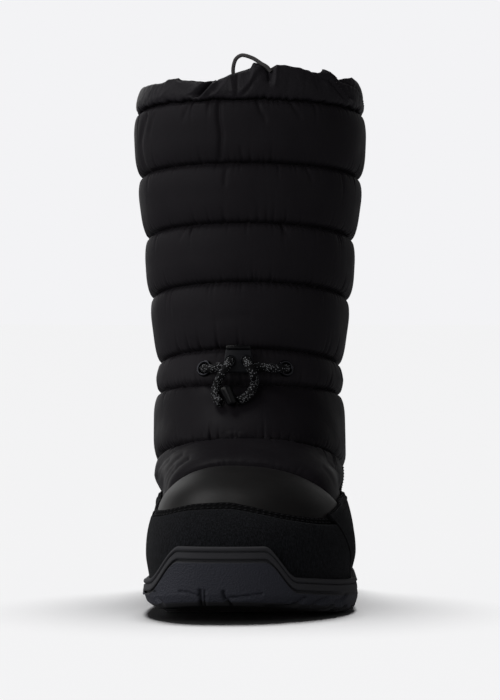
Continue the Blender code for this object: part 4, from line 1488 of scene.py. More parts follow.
@dataclass
class SuedeOverlays:
    """The suede toe cap and foxing, their bound edges and their stitches."""

    form: BootForm
    drape: Drape
    lift: float = 2.15
    thick: float = 1.8
    low: float = 0.8
    strip_wide: float = 3.8
    cap_columns: int = 180
    cap_rows: int = 26
    foxing_columns: int = 300
    foxing_rows: int = 30
    stitch_length: float = 2.3
    stitch_pitch: float = 3.0
    stitch_radius: float = 0.42
    stitch_step: float = 0.3
    stitch_proud: float = 0.05
    row_power: float = 0.85
    cloth_size: Span = (0.3, 0.05)
    round_most: float = 0.6
    round_share: float = 0.4
    edge_length: float = 400.0
    strip_gap: float = 0.2
    strip_rows: int = 4
    strip_lift: float = 0.7
    strip_thick: float = 0.6
    bind_around: int = 8
    bind_above: float = 0.2
    bind_lift: float = 0.9
    bind_radius: float = 0.7
    seam_foot: float = 24.0
    seam_over: float = 1.2
    seam_steps: int = 24
    seam_lift: float = 1.7
    seam_radius: float = 0.75
    cap_sewn: Span = (0.02, 0.98)
    cap_stitches: Span = (1.3, 2.9)
    cap_stitch_lift: float = 0.8
    foxing_sewn: Span = (0.01, 0.99)
    foxing_stitches: float = -2.2

    def overlay(
        self, name: str, columns: int, rows: int, at: Surface,
        spans: Sequence[Span], lift: float, thick: float, finish: Finish,
    ) -> Piece:
        """A sheet on the foot, with its thickness.

        Args:
            name: The piece's name.
            columns: Faces along it.
            rows: Faces up it.
            at: Gives place and normal for a share of its length and a height.
            spans: Its lower and upper height at each column.
            lift: How far its outer face stands off the foot.
            thick: Its thickness.
            finish: Its finish.

        Returns:
            The piece.
        """
        bm = bmesh.new()
        sheet = Sheet(bm, columns, rows)

        def rule(column: int, row: int) -> Vector:
            """The place of a column and row, lifted off the foot."""
            place, normal = at(column / columns, lerp(*spans[column], (row / rows) ** self.row_power))
            return place + normal * lift * MM

        sheet.lay(rule)
        sheet.map_cloth(*self.cloth_size)
        face_out(bm)
        QuiltedUpper.turn_out(bm)
        bmesh.ops.solidify(bm, geom=bm.faces[:], thickness=thick * MM)
        face_out(bm)
        piece = add_piece(name, bm, (finish,), sharp=50.0)
        add_bevel(piece, min(self.round_most, thick * self.round_share))
        return piece

    def suede(
        self, name: str, columns: int, rows: int, at: Surface, edge: Callable[[float], float]
    ) -> None:
        """A suede overlay from the footbed up to its edge, in place of the CAD node of its name.

        Args:
            name: The node's name.
            columns: Faces along it.
            rows: Faces up it.
            at: The surface that it lies on.
            edge: Gives its edge's height at a share of its length.
        """
        spans = []
        for i in range(columns + 1):
            top = edge(i / columns)
            foot = self.form.footbed(self.form.station(at(i / columns, top)[0])) + self.low
            spans.append((foot, top))
        piece = self.overlay(f"suede_{name}", columns, rows, at, spans, self.lift, self.thick, SUEDE)
        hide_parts(name)

    def line(
        self, at: Surface, edge: Callable[[float], float],
        span: Span, above: float, lift: float, step: float = 1.2,
    ) -> list[Spot]:
        """Places along an edge, a distance above it and lifted off the foot.

        Args:
            at: Gives place and normal for a share of the way and a height.
            edge: Gives the edge's height.
            span: The shares where the line starts and ends.
            above: Its distance above the edge.
            lift: How far it is lifted off.
            step: Millimetres between its points.

        Returns:
            Pairs of place and normal.
        """
        count = max(4, round(abs(span[1] - span[0]) * self.edge_length / step))
        made = []
        for i in range(count + 1):
            share = lerp(*span, i / count)
            place, normal = at(share, edge(share) + above)
            made.append((place + normal * lift * MM, normal))
        return made

    def sew(self, name: str, lines: Iterable[Sequence[Spot]]) -> Piece:
        """Rows of stitches, each a small bead of thread along its line.

        Args:
            name: The piece's name.
            lines: Lines of places and normals.

        Returns:
            The piece.
        """
        bm = bmesh.new()
        for line in lines:
            travelled, due = 0.0, 0.0
            for (a, normal), (b, _) in zip(line, line[1:]):
                travelled += (b - a).length / MM
                if travelled < due:
                    continue
                due += self.stitch_pitch
                along = (b - a).normalized()
                across = normal.cross(along).normalized()
                turn = Matrix((along, across, normal)).transposed().to_4x4()
                size = Matrix.Diagonal(
                    (self.stitch_length / 2.0 * MM, self.stitch_radius * MM, self.stitch_radius * MM, 1.0)
                )
                bmesh.ops.create_icosphere(
                    bm, subdivisions=1, radius=1.0, matrix=Matrix.Translation(a) @ turn @ size
                )
        return add_piece(name, bm, (THREAD,), sharp=80.0)

    def bind(self, name: str, line: Sequence[Spot], radius: float) -> Piece:
        """A thin corded binding along a line.

        Args:
            name: The piece's name.
            line: The line.
            radius: The cord's radius.

        Returns:
            The piece.
        """
        bm = bmesh.new()
        sweep(bm, [place for place, _ in line], radius, self.bind_around)
        return add_piece(name, bm, (BINDING_AND_HOLE_SHADE,), sharp=60.0)

    def build(self) -> None:
        """Lays the suede, binds its edges and stitches it down."""
        drape = self.drape
        self.suede("toe_cap", self.cap_columns, self.cap_rows, drape.at_toe, drape.toe_edge)
        self.suede("foxing", self.foxing_columns, self.foxing_rows, drape.at_quarter, drape.quarter_edge)
        toe, quarter = (drape.at_toe, drape.toe_edge), (drape.at_quarter, drape.quarter_edge)
        edges = [drape.toe_edge(i / self.cap_columns) for i in range(self.cap_columns + 1)]
        spans = [(z + self.strip_gap, z + self.strip_wide) for z in edges]
        self.overlay(
            "toe_cap_strip", self.cap_columns, self.strip_rows, drape.at_toe, spans, self.strip_lift,
            self.strip_thick, BINDING_AND_HOLE_SHADE,
        )
        bound = self.line(*quarter, (0.0, 1.0), self.bind_above, self.bind_lift)
        self.bind("foxing_binding", bound, self.bind_radius)
        for side, share in ((Side.OUTER, 0.0), (Side.INNER, 1.0)):
            top = drape.toe_edge(share) + self.seam_over
            heights = [lerp(self.seam_foot, top, i / self.seam_steps) for i in range(self.seam_steps + 1)]
            places = [drape.at_toe(share, z) for z in heights]
            line = [(place + normal * self.seam_lift * MM, normal) for place, normal in places]
            self.bind(f"toe_cap_binding_{side.name.lower()}", line, self.seam_radius)
        cap = [
            self.line(*toe, self.cap_sewn, above, self.cap_stitch_lift, self.stitch_step)
            for above in self.cap_stitches
        ]
        self.sew("toe_cap_stitches", cap)
        lift = self.lift + self.stitch_proud
        foxing = self.line(*quarter, self.foxing_sewn, self.foxing_stitches, lift, self.stitch_step)
        self.sew("foxing_stitches", [foxing])


# The unit sole


class SoleLine(Enum):
    """The lines along the foot that the sole's levels follow."""

    FLOOR = "floor"
    TREAD = "tread"
    GROOVE = "groove"
    LIP = "lip"
    FOOTBED = "footbed"


class SoleRow(NamedTuple):
    """A level of the sole: growth from its outline, the line it follows, its rise, and rows to the next."""

    name: str
    grow: float
    line: SoleLine
    rise: float
    rows: int


SOLE_SIDE = (
    SoleRow("tread_flat", -12.0, SoleLine.FLOOR, 0.0, 3),
    SoleRow("tread_edge", -4.5, SoleLine.TREAD, 0.6, 3),
    SoleRow("tread_corner", -1.2, SoleLine.TREAD, 2.8, 4),
    SoleRow("wall_foot", 0.0, SoleLine.TREAD, 6.5, 38),
    SoleRow("panel_top", 0.2, SoleLine.GROOVE, -1.1, 2),
    SoleRow("groove_lip", -0.2, SoleLine.GROOVE, -0.7, 2),
    SoleRow("groove_floor", -1.7, SoleLine.GROOVE, -0.2, 2),
    SoleRow("groove_roof", -1.6, SoleLine.GROOVE, 0.3, 2),
    SoleRow("rim_edge", -0.2, SoleLine.GROOVE, 0.8, 2),
    SoleRow("rim_low", 0.0, SoleLine.GROOVE, 1.3, 5),
    SoleRow("rim_high", -0.3, SoleLine.LIP, -3.0, 2),
    SoleRow("bead_line", -1.3, SoleLine.LIP, -2.5, 2),
    SoleRow("bead_low", -0.5, SoleLine.LIP, -2.1, 2),
    SoleRow("bead", -0.1, SoleLine.LIP, -1.3, 2),
    SoleRow("bead_high", -0.4, SoleLine.LIP, -0.4, 2),
    SoleRow("bead_top", -1.2, SoleLine.LIP, 0.0, 2),
    SoleRow("bead_inside", -4.6, SoleLine.LIP, -0.2, 2),
    SoleRow("seat_edge", -5.4, SoleLine.FOOTBED, -3.0, 0),
)
TOE_MARKS = (
    Mark(((-25.0, 14.8), (-21.4, 14.7), (-15.7, 12.8)), 0.6, 0.9),
    Mark(((-15.0, 15.4), (-14.4, 5.5)), 0.8, 1.8),
    Mark(((-12.7, 15.4), (-12.7, 5.5)), 0.6, 0.9),
    Mark(((-3.7, 14.8), (-3.2, 11.7), (0.5, 7.1)), 0.8, 1.9),
    Mark(((-1.1, 11.7), (7.2, 12.8), (14.5, 13.8)), 0.6, 0.9),
    Mark(((16.0, 6.8), (27.9, 6.9), (31.5, 8.5), (34.3, 10.7)), 0.9, 1.3),
    Mark(((37.9, 6.7), (41.3, 8.6), (44.1, 9.6)), 0.9, 1.2),
    Mark(((48.7, 6.8), (51.0, 8.0), (53.4, 9.9)), 0.9, 1.2),
    Mark(((-38.1, 13.4), (-37.1, 10.6), (-34.1, 8.2)), 0.9, 1.2),
)


@dataclass
class UnitSole:
    """The moulded sole: tread with lugs, toe panel, rim and bead."""

    form: BootForm
    growth: float = 5.2
    lip_rise: float = 4.0
    bumper_top: float = 36.3
    bumper_flat: float = 20.6
    bumper_ramp: float = 16.0
    bumper_back: float = 205.0
    groove_drop: float = 6.6
    groove_fade: Span = (50.0, 60.0)
    roll_lift: float = 5.0
    roll_back: Span = (140.0, 184.0)
    roll_front: Span = (214.0, 252.0)
    heel_steps: int = 26
    side_step: float = 3.0
    toe_steps: int = 280
    lug_pitch: float = 14.0
    lug_gap: float = 4.6
    lug_depth: float = 4.0
    lug_reach: float = 17.0
    lug_out: float = 4.0
    lug_skew: float = 16.0
    lug_runs: tuple[Span, ...] = ((14.0, 80.0), (122.0, 240.0))
    bar_stations: tuple[float, ...] = (26.0, 66.0, 130.0, 148.0, 184.0, 202.0, 220.0)
    bar_half: float = 17.0
    bar_skew: float = 24.0
    stippled: tuple[str, ...] = ("tread_corner", "wall_foot")
    mark_facing: float = -0.25
    mark_top: float = 22.0
    sharp: float = 48.0
    tread_rows: tuple[EdgeRow, ...] = (
        EdgeRow(-10.0, 3.0), EdgeRow(12.0, 0.0), EdgeRow(82.0, 0.0), EdgeRow(88.0, 4.5),
        EdgeRow(110.0, 4.5), EdgeRow(117.0, 0.0), EdgeRow(200.0, 0.0), EdgeRow(226.0, 1.8),
        EdgeRow(250.0, 4.6), EdgeRow(275.0, 8.2),
    )

    def __post_init__(self) -> None:
        """Draws the tread's line and the stations round the outline."""
        self.tread = BootForm.edge(self.tread_rows)
        self.back, self.tip = HEEL_BACK - self.growth, TOE_TIP + self.growth
        wide = self.form.heel_wide
        quarter = math.pi / 2.0
        heel = [
            wide - (wide - self.back) * math.cos(quarter * i / self.heel_steps)
            for i in range(self.heel_steps)
        ]
        count = round((BALL - wide) / self.side_step)
        sides = [lerp(wide, BALL, i / count) for i in range(count)]
        toe = [
            BALL + (self.tip - BALL) * math.sin(quarter * i / self.toe_steps) for i in range(self.toe_steps)
        ]
        line = [*heel, *sides, *toe, self.tip]
        outer = [(s, Side.OUTER) for s in line]
        self.ring = outer + [(s, Side.INNER) for s in reversed(line[1:-1])]

    def outline(self, s: float, grow: float) -> Span:
        """Inner and outer x of the sole's outline at a station, grown outwards.

        Args:
            s: The station.
            grow: How far the outline is grown.

        Returns:
            The inner and the outer x.
        """
        growth = self.growth + grow
        if s > BALL:
            return self.form.toe_sides(s, growth)
        inner, outer = self.form.sides(s)
        inner, outer = inner - growth, outer + growth
        wide = self.form.heel_wide
        if s >= wide:
            return inner, outer
        reach = min(1.0, (wide - s) / (wide - HEEL_BACK + growth))
        narrow = rounded(reach, self.form.heel_power)
        axis = (inner + outer) / 2.0
        return axis + (inner - axis) * narrow, axis + (outer - axis) * narrow

    def moved_station(self, s: float, grow: float) -> float:
        """A station moved so that the ends of the outline grow with its sides.

        Args:
            s: The station.
            grow: How far the outline is grown.

        Returns:
            The moved station.
        """
        wide = self.form.heel_wide
        if s < wide:
            return wide - (wide - s) * (wide - self.back + grow) / (wide - self.back)
        if s > BALL:
            return BALL + (s - BALL) * (self.tip - BALL + grow) / (self.tip - BALL)
        return s

    def lip(self, s: float, x: float) -> float:
        """Height of the top edge: along the side, and up over the toe bumper.

        Args:
            s: The station.
            x: The outline's x there.

        Returns:
            The height.
        """
        side = self.form.footbed(s) + self.lip_rise
        if s < self.bumper_back:
            return side
        away = abs(x - self.form.toe_tip_x)
        bumper = 1.0 - ease(self.bumper_flat, self.bumper_flat + self.bumper_ramp, away)
        return lerp(side, self.bumper_top, bumper)

    def height(self, line: SoleLine, s: float, x: float) -> float:
        """The height of one of the sole's lines.

        Args:
            line: The line.
            s: The station.
            x: The outline's x there.

        Returns:
            The height.
        """
        if line is SoleLine.FOOTBED:
            return self.form.footbed(s)
        if line in (SoleLine.LIP, SoleLine.GROOVE):
            return self.lip(s, x) - (self.groove_drop if line is SoleLine.GROOVE else 0.0)
        roll = 0.0
        if line is SoleLine.TREAD and x < 0.0:
            roll = self.roll_lift * ease(*self.roll_back, s) * (1.0 - ease(*self.roll_front, s))
        return self.tread(s) + roll

    def point(self, row: SoleRow, s: float, side: Side) -> Vector:
        """The point of a level round the sole at a station.

        Args:
            row: The level.
            s: The station on the outline.
            side: The side of the foot.

        Returns:
            The point as s, x and z.
        """
        reference = self.outline(s, 0.0)[side.index]
        grow = row.grow
        if row.name.startswith("groove_"):
            away = abs(reference - self.form.toe_tip_x)
            grow *= 1.0 - ease(*self.groove_fade, away) if s > self.bumper_back else 0.0
        moved = self.moved_station(s, grow)
        x = self.outline(moved, grow)[side.index]
        return Vector((moved, x, self.height(row.line, s, reference) + row.rise))

    def body(self) -> Mesh:
        """The sole's closed body before its lugs are cut.

        Returns:
            The body.
        """
        lines = []
        for row, ahead in zip(SOLE_SIDE, SOLE_SIDE[1:]):
            here = [self.point(row, s, side) for s, side in self.ring]
            there = [self.point(ahead, s, side) for s, side in self.ring]
            for k in range(row.rows):
                t = k / row.rows
                lines.append((row.name, [a.lerp(b, t) for a, b in zip(here, there)]))
        lines.append((SOLE_SIDE[-1].name, [self.point(SOLE_SIDE[-1], s, side) for s, side in self.ring]))
        around = len(self.ring)
        bm = bmesh.new()
        sheet = Sheet(bm, around, len(lines) - 1)
        sheet.lay(lambda column, row: self.form.place(*lines[row][1][column % around]))
        panel = {i for i, (name, _) in enumerate(lines) if name in self.stippled}
        sheet.paint(1, lambda column, row: row in panel)
        sheet.weld()
        rows: dict[int, dict[int, Vert]] = {}
        for vert in bm.verts:
            column, row = sheet.index[vert]
            rows.setdefault(row, {})[column % around] = vert
        for row in (0, len(lines) - 1):
            self.close_across(bm, rows[row], around)
        face_out(bm)
        self.press_marks(bm)
        return bm

    @staticmethod
    def close_across(bm: Mesh, ring: dict[int, Vert], around: int) -> None:
        """Closes a ring of the sole with strips from side to side.

        Args:
            bm: The sole.
            ring: The ring's vertices by column.
            around: The number of columns.
        """
        for i in range(around // 2):
            corners = [ring[i], ring[i + 1], ring[(around - i - 1) % around], ring[(around - i) % around]]
            corners = list(dict.fromkeys(corners))
            if len(corners) > 2:
                bm.faces.new(corners)

    def press_marks(self, bm: Mesh) -> None:
        """Presses the mould's fine lines into the front of the toe.

        Args:
            bm: The sole.
        """
        bm.normal_update()
        moved = []
        for vert in bm.verts:
            if vert.normal.y < self.mark_facing and vert.co.z < self.mark_top * MM:
                depth = sum(mark.press(vert.co.x / MM, vert.co.z / MM) for mark in TOE_MARKS)
                moved.append((vert, vert.co - vert.normal * depth * MM))
        for vert, place in moved:
            vert.co = place

    def gaps(self) -> Mesh:
        """Blocks for the notches between the edge lugs, and the bars across the tread.

        Returns:
            The blocks.
        """
        bm = bmesh.new()

        def block(s: float, x: float, z: float, size: tuple[float, float, float], yaw: float) -> None:
            """Adds a block.

            Args:
                s: The s of its middle.
                x: The x of its middle.
                z: The z of its middle.
                size: Its size across, along and up.
                yaw: Its turn in degrees.
            """
            turn = Matrix.Rotation(math.radians(yaw), 4, "Z")
            scale = Matrix.Diagonal((*[length * MM for length in size], 1.0))
            middle = Matrix.Translation(self.form.place(s, x, z))
            bmesh.ops.create_cube(bm, size=1.0, matrix=middle @ turn @ scale)

        for first, last in self.lug_runs:
            for i in range(int((last - first) / self.lug_pitch) + 1):
                s = first + self.lug_pitch * i
                for side in Side:
                    edge = self.outline(s, 0.0)[side.index]
                    x = edge - side.value * (self.lug_reach / 2.0 - self.lug_out)
                    size = (self.lug_reach + 2.0 * self.lug_out, self.lug_gap, 2.0 * self.lug_depth)
                    block(s, x, self.tread(s), size, side.value * self.lug_skew)
        for s in self.bar_stations:
            size = (2.0 * self.bar_half, self.lug_gap, 2.0 * self.lug_depth)
            block(s, sum(self.outline(s, 0.0)) / 2.0, self.tread(s), size, self.bar_skew)
        return bm

    def build(self) -> Piece:
        """Builds the sole and cuts its tread.

        Returns:
            The piece.
        """
        sole = add_piece("unit_sole", self.body(), (RUBBER, STIPPLE), self.sharp)
        cutter = add_piece("tread_gaps", self.gaps(), ())
        cut = sole.modifiers.new("tread", "BOOLEAN")
        cut.object, cut.operation, cut.solver = cutter, "DIFFERENCE", "EXACT"
        bpy.context.view_layer.update()
        shaped = bpy.data.meshes.new_from_object(sole.evaluated_get(bpy.context.evaluated_depsgraph_get()))
        sole.modifiers.clear()
        sole.data = shaped
        shaped.shade_smooth()
        shaped.set_sharp_from_angle(angle=math.radians(self.sharp))
        bpy.data.objects.remove(cutter)
        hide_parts("outsole")
        return sole


@dataclass
class Footbed:
    """The felt footbed inside the boot, dished under the heel."""

    form: BootForm
    thick: float = 3.5
    clear: float = 5.2
    start: float = 11.0
    end: float = 256.0
    columns: int = 36
    rows: int = 110
    dish: float = 0.8
    dish_power: int = 4
    least_half: float = 2.0
    hem: float = 0.6
    edge_round: float = 0.8

    def build(self) -> Piece:
        """Builds the footbed.

        Returns:
            The piece.
        """
        bm = bmesh.new()
        sheet = Sheet(bm, self.columns, self.rows)

        def rule(column: int, row: int) -> Vector:
            """The place of a column and row of the footbed's top.

            Args:
                column: The column, from the inner side.
                row: The row, from the heel.

            Returns:
                The place in metres.
            """
            s = lerp(self.start, self.end, crowd(row / self.rows))
            inner, outer = self.form.sides(s)
            if s < self.form.heel_wide:
                narrow = self.form.heel_round(s)
                inner, outer = inner * narrow, outer * narrow
            inner = min(inner + self.clear, -self.least_half)
            outer = max(outer - self.clear, self.least_half)
            across = column / self.columns
            dish = self.dish * (2.0 * across - 1.0) ** self.dish_power
            z = self.form.footbed(s) + self.thick + dish
            return self.form.place(s, lerp(inner, outer, across), z)

        sheet.lay(rule)
        face_out(bm)
        if sum(face.normal.z for face in bm.faces) < 0.0:
            bmesh.ops.reverse_faces(bm, faces=bm.faces)
        bmesh.ops.solidify(bm, geom=bm.faces[:], thickness=(self.thick - self.hem) * MM)
        face_out(bm)
        piece = add_piece("felt_footbed", bm, (FELT,), sharp=50.0)
        add_bevel(piece, self.edge_round)
        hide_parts("insole")
        return piece


# The gathered collar


class CollarRow(NamedTuple):
    """A level of the casing: out from the seam, share of its height, and how far gathers show."""

    out: float
    rise: float
    gather: float


class Crest(NamedTuple):
    """The casing's height at a turn in degrees from the front, and how far it is pulled in."""

    turn: float
    height: float
    tuck: float


class Gather(NamedTuple):
    """A fold of the casing: place and lean in degrees, width, depth, and the levels it spans."""

    turn: float
    lean: float
    width: float
    depth: float
    low: float
    high: float


@dataclass
class GatheredCollar:
    """The thin casing above the shaft, gathered on its drawcord."""

    form: BootForm
    columns: int = 640
    lift: float = 0.7
    seed: int = 11
    outside: tuple[CollarRow, ...] = (
        CollarRow(-3.2, -0.2, 0.0), CollarRow(-1.6, -0.03, 0.0), CollarRow(0.5, 0.0, 0.1),
        CollarRow(1.7, 0.05, 0.3), CollarRow(2.3, 0.13, 0.6), CollarRow(2.5, 0.3, 0.9),
        CollarRow(2.2, 0.5, 1.0), CollarRow(1.3, 0.75, 1.0), CollarRow(0.3, 0.93, 1.0),
        CollarRow(-0.9, 1.0, 1.0),
    )
    inside: tuple[CollarRow, ...] = (
        CollarRow(-0.9, 1.0, 1.0), CollarRow(-2.0, 0.95, 1.0), CollarRow(-2.9, 0.8, 0.9),
        CollarRow(-3.8, 0.45, 0.5), CollarRow(-3.9, 0.0, 0.0),
    )
    outside_rows: int = 34
    inside_rows: int = 16
    crests: tuple[Crest, ...] = (
        Crest(0.0, 14.6, 0.2), Crest(2.4, 15.6, 0.2), Crest(3.6, 18.4, 0.0), Crest(7.2, 17.6, 0.2),
        Crest(11.2, 15.2, 1.2), Crest(15.3, 17.4, 0.0), Crest(19.5, 17.6, 0.0), Crest(33.4, 16.0, 0.4),
        Crest(39.6, 14.9, 0.8), Crest(44.7, 17.5, -0.4), Crest(57.3, 13.5, 1.2), Crest(70.9, 16.2, -0.3),
        Crest(88.0, 14.8, 0.0), Crest(104.0, 13.0, 1.2), Crest(122.0, 12.5, 1.6), Crest(146.0, 15.0, -0.3),
        Crest(164.0, 12.8, 1.4), Crest(188.0, 15.2, -0.3), Crest(212.0, 12.6, 1.7), Crest(236.0, 14.8, -0.3),
        Crest(254.0, 12.4, 1.3), Crest(270.0, 13.1, 0.0), Crest(299.2, 11.7, 0.6), Crest(309.6, 10.9, 0.4),
        Crest(315.8, 12.2, 0.2), Crest(323.0, 12.2, 0.2), Crest(324.7, 11.0, 0.4), Crest(339.4, 9.2, 1.0),
        Crest(344.7, 10.2, 0.0), Crest(346.3, 9.4, 0.2), Crest(350.9, 11.3, 0.0), Crest(355.3, 13.1, 0.0),
        Crest(360.0, 14.6, 0.2),
    )
    folds: tuple[Gather, ...] = (
        Gather(339.0, 9.0, 1.7, 4.6, 0.2, 1.2), Gather(342.6, 9.0, 1.5, -1.8, 0.2, 1.1),
        Gather(334.6, 9.0, 2.6, -0.9, 0.3, 1.1), Gather(346.5, 10.0, 1.6, 0.7, 0.05, 0.7),
        Gather(349.0, 9.0, 2.0, -0.7, 0.1, 0.9), Gather(354.3, -2.0, 1.6, -0.9, 0.2, 1.0),
        Gather(356.6, 0.0, 0.9, 1.0, 0.02, 0.9), Gather(361.8, 12.0, 1.6, -0.8, 0.2, 1.0),
        Gather(364.0, 12.0, 1.0, 1.2, 0.1, 0.9), Gather(371.2, 0.0, 0.9, 2.0, 0.55, 1.2),
        Gather(374.0, 2.0, 1.5, -1.2, 0.4, 1.1), Gather(381.0, 4.0, 3.0, 0.4, 0.1, 0.8),
        Gather(413.5, -26.0, 1.7, -2.4, 0.25, 1.2), Gather(417.6, -26.0, 2.0, 3.0, 0.3, 1.2),
        Gather(409.6, -26.0, 1.9, 1.7, 0.25, 1.1), Gather(441.0, -50.0, 3.4, 2.2, 0.3, 1.15),
        Gather(434.0, -50.0, 2.6, -1.0, 0.3, 1.1), Gather(281.0, 0.0, 1.5, 0.7, 0.0, 0.25),
        Gather(276.0, 0.0, 1.2, 0.8, 0.0, 0.3), Gather(290.0, 2.0, 1.4, 0.5, 0.0, 0.25),
        Gather(318.0, 20.0, 4.0, -0.5, 0.2, 1.0),
    )
    loose_folds: int = 46
    loose_from: float = 104.0
    loose_arc: float = 152.0
    loose_shift: float = 0.4
    loose_depths: Span = (0.5, 1.6)
    # The ranges of a loose fold's lean, width, and lowest and highest level.
    loose_spans: tuple[Span, ...] = ((-9.0, 9.0), (1.2, 2.8), (0.0, 0.3), (0.7, 1.1))
    fold_reach: float = 5.0
    fold_outside: float = 0.15
    fold_inside: float = 0.1
    crinkle: float = 0.5
    crinkle_ripple: float = 1.6
    crinkle_base: float = 0.5
    crinkle_fine: float = 0.5
    smooth_front: float = 0.45
    smooth_arc: Span = (80.0, 120.0)
    ripple: Grain = Grain(0.2, 1.6)
    fine: Grain = Grain(0.55, 3.0, 9.0)
    crest_grain: Grain = Grain(0.3, step=5.0)
    crest_wander: float = 0.3
    turn_step: float = 0.02
    cloth_size: Span = (0.37, 0.045)

    def frame(self, turn: float) -> tuple[Vector, Vector, Vector]:
        """A point of the collar seam, with the directions out and up from it.

        Args:
            turn: The turn in radians from the front.

        Returns:
            The point as s, x and z, and the two directions.
        """
        seam = SECTIONS[0]
        here = self.form.point(seam, turn)
        ahead, behind = (
            self.form.point(seam, (turn + step) % TAU) for step in (self.turn_step, -self.turn_step)
        )
        up = Vector((seam.low_z - seam.top_z, 0.0, seam.top_s - seam.low_s)).normalized()
        out = (ahead - behind).cross(up).normalized()
        axis = Vector(((seam.top_s + seam.low_s) / 2.0, 0.0, here.z))
        return here, out if out.dot(here - axis) > 0.0 else -out, up

    def all_folds(self) -> list[Gather]:
        """The folds seen in front, and loose ones on the rest of the casing.

        Returns:
            The folds.
        """
        draw = random.Random(self.seed)
        made = list(self.folds)
        for i in range(self.loose_folds):
            shift = draw.uniform(-self.loose_shift, self.loose_shift)
            turn = self.loose_from + self.loose_arc * (i + shift) / self.loose_folds
            deep = draw.choice((-1.0, 1.0)) * draw.uniform(*self.loose_depths)
            lean, width, low, high = [draw.uniform(*span) for span in self.loose_spans]
            made.append(Gather(turn, lean, width, deep, low, high))
        return made

    def levels(self) -> list[CollarRow]:
        """The levels of the casing from its outer hem over the top to its inner hem.

        Returns:
            The levels.
        """
        made = []
        for rows, count in ((self.outside, self.outside_rows), (self.inside, self.inside_rows)):
            places = [i / (len(rows) - 1) for i in range(len(rows))]
            curves = [Curve(places, [row[k] for row in rows]) for k in range(3)]
            shares = [i / count for i in range(count + 1)][1 if made else 0 :]
            made += [CollarRow(*[curve(share) for curve in curves]) for share in shares]
        return made

    def build(self) -> Piece:
        """Builds the collar.

        Returns:
            The piece.
        """
        turns = [crest.turn for crest in self.crests]
        height_at = Curve(turns, [crest.height for crest in self.crests], straight=True)
        tuck_at = Curve(turns, [crest.tuck for crest in self.crests])
        levels, folds = self.levels(), self.all_folds()
        frames = [self.frame(TAU * i / self.columns) for i in range(self.columns)]
        degrees = [360.0 * i / self.columns for i in range(self.columns)]

        def fold_depth(turn: float, rise: float) -> float:
            """How deep the folds press in.

            Args:
                turn: The turn in degrees from the front.
                rise: The share of the casing's height.

            Returns:
                The depth.
            """
            total = 0.0
            for fold in folds:
                away = abs(within_half(turn - fold.turn - fold.lean * (rise - 0.5)))
                if away < self.fold_reach * fold.width:
                    begun = ease(fold.low - self.fold_outside, fold.low + self.fold_inside, rise)
                    ended = ease(fold.high - self.fold_inside, fold.high + self.fold_outside, rise)
                    total += fold.depth * begun * (1.0 - ended) * math.exp(-away / fold.width)
            return total

        def rule(column: int, row: int) -> Vector:
            """The place of a column and row of the casing.

            Args:
                column: The column round the collar.
                row: The number of the level.

            Returns:
                The place in metres.
            """
            i = column % self.columns
            turn, (here, out, up), level = degrees[i], frames[i], levels[row]
            ripple, fine = (grain.at(here.x, here.y, level.rise) for grain in (self.ripple, self.fine))
            crest = height_at(turn) + self.crest_wander * self.crest_grain.at(here.x, here.y, 0.0)
            moved = level.out - level.gather * (tuck_at(turn) * level.rise + fold_depth(turn, level.rise))
            rough = lerp(self.smooth_front, 1.0, ease(*self.smooth_arc, abs(within_half(turn))))
            waves = abs(ripple) * self.crinkle_ripple - self.crinkle_base + self.crinkle_fine * fine
            moved += self.crinkle * rough * level.gather * waves
            near = bell(level.rise * crest, self.form.wander_reach)
            hem = self.form.wander(0, here.x, here.y) * near
            p = here + out * moved + up * (self.lift + level.rise * crest + hem)
            return self.form.place(*p)

        bm = bmesh.new()
        sheet = Sheet(bm, self.columns, len(levels) - 1)
        sheet.lay(rule)
        sheet.map_cloth(*self.cloth_size)
        sheet.weld()
        rims = [edge for edge in bm.edges if edge.is_boundary]
        bmesh.ops.bridge_loops(bm, edges=rims)
        face_out(bm)
        piece = add_piece("gathered_collar", bm, (CASING,), sharp=70.0)
        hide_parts("collar")
        return piece


# Cords and fittings


class RoutePoint(NamedTuple):
    """A point of a cord over the front of the boot, with its lift off the padding."""

    x: float
    z: float
    lift: float


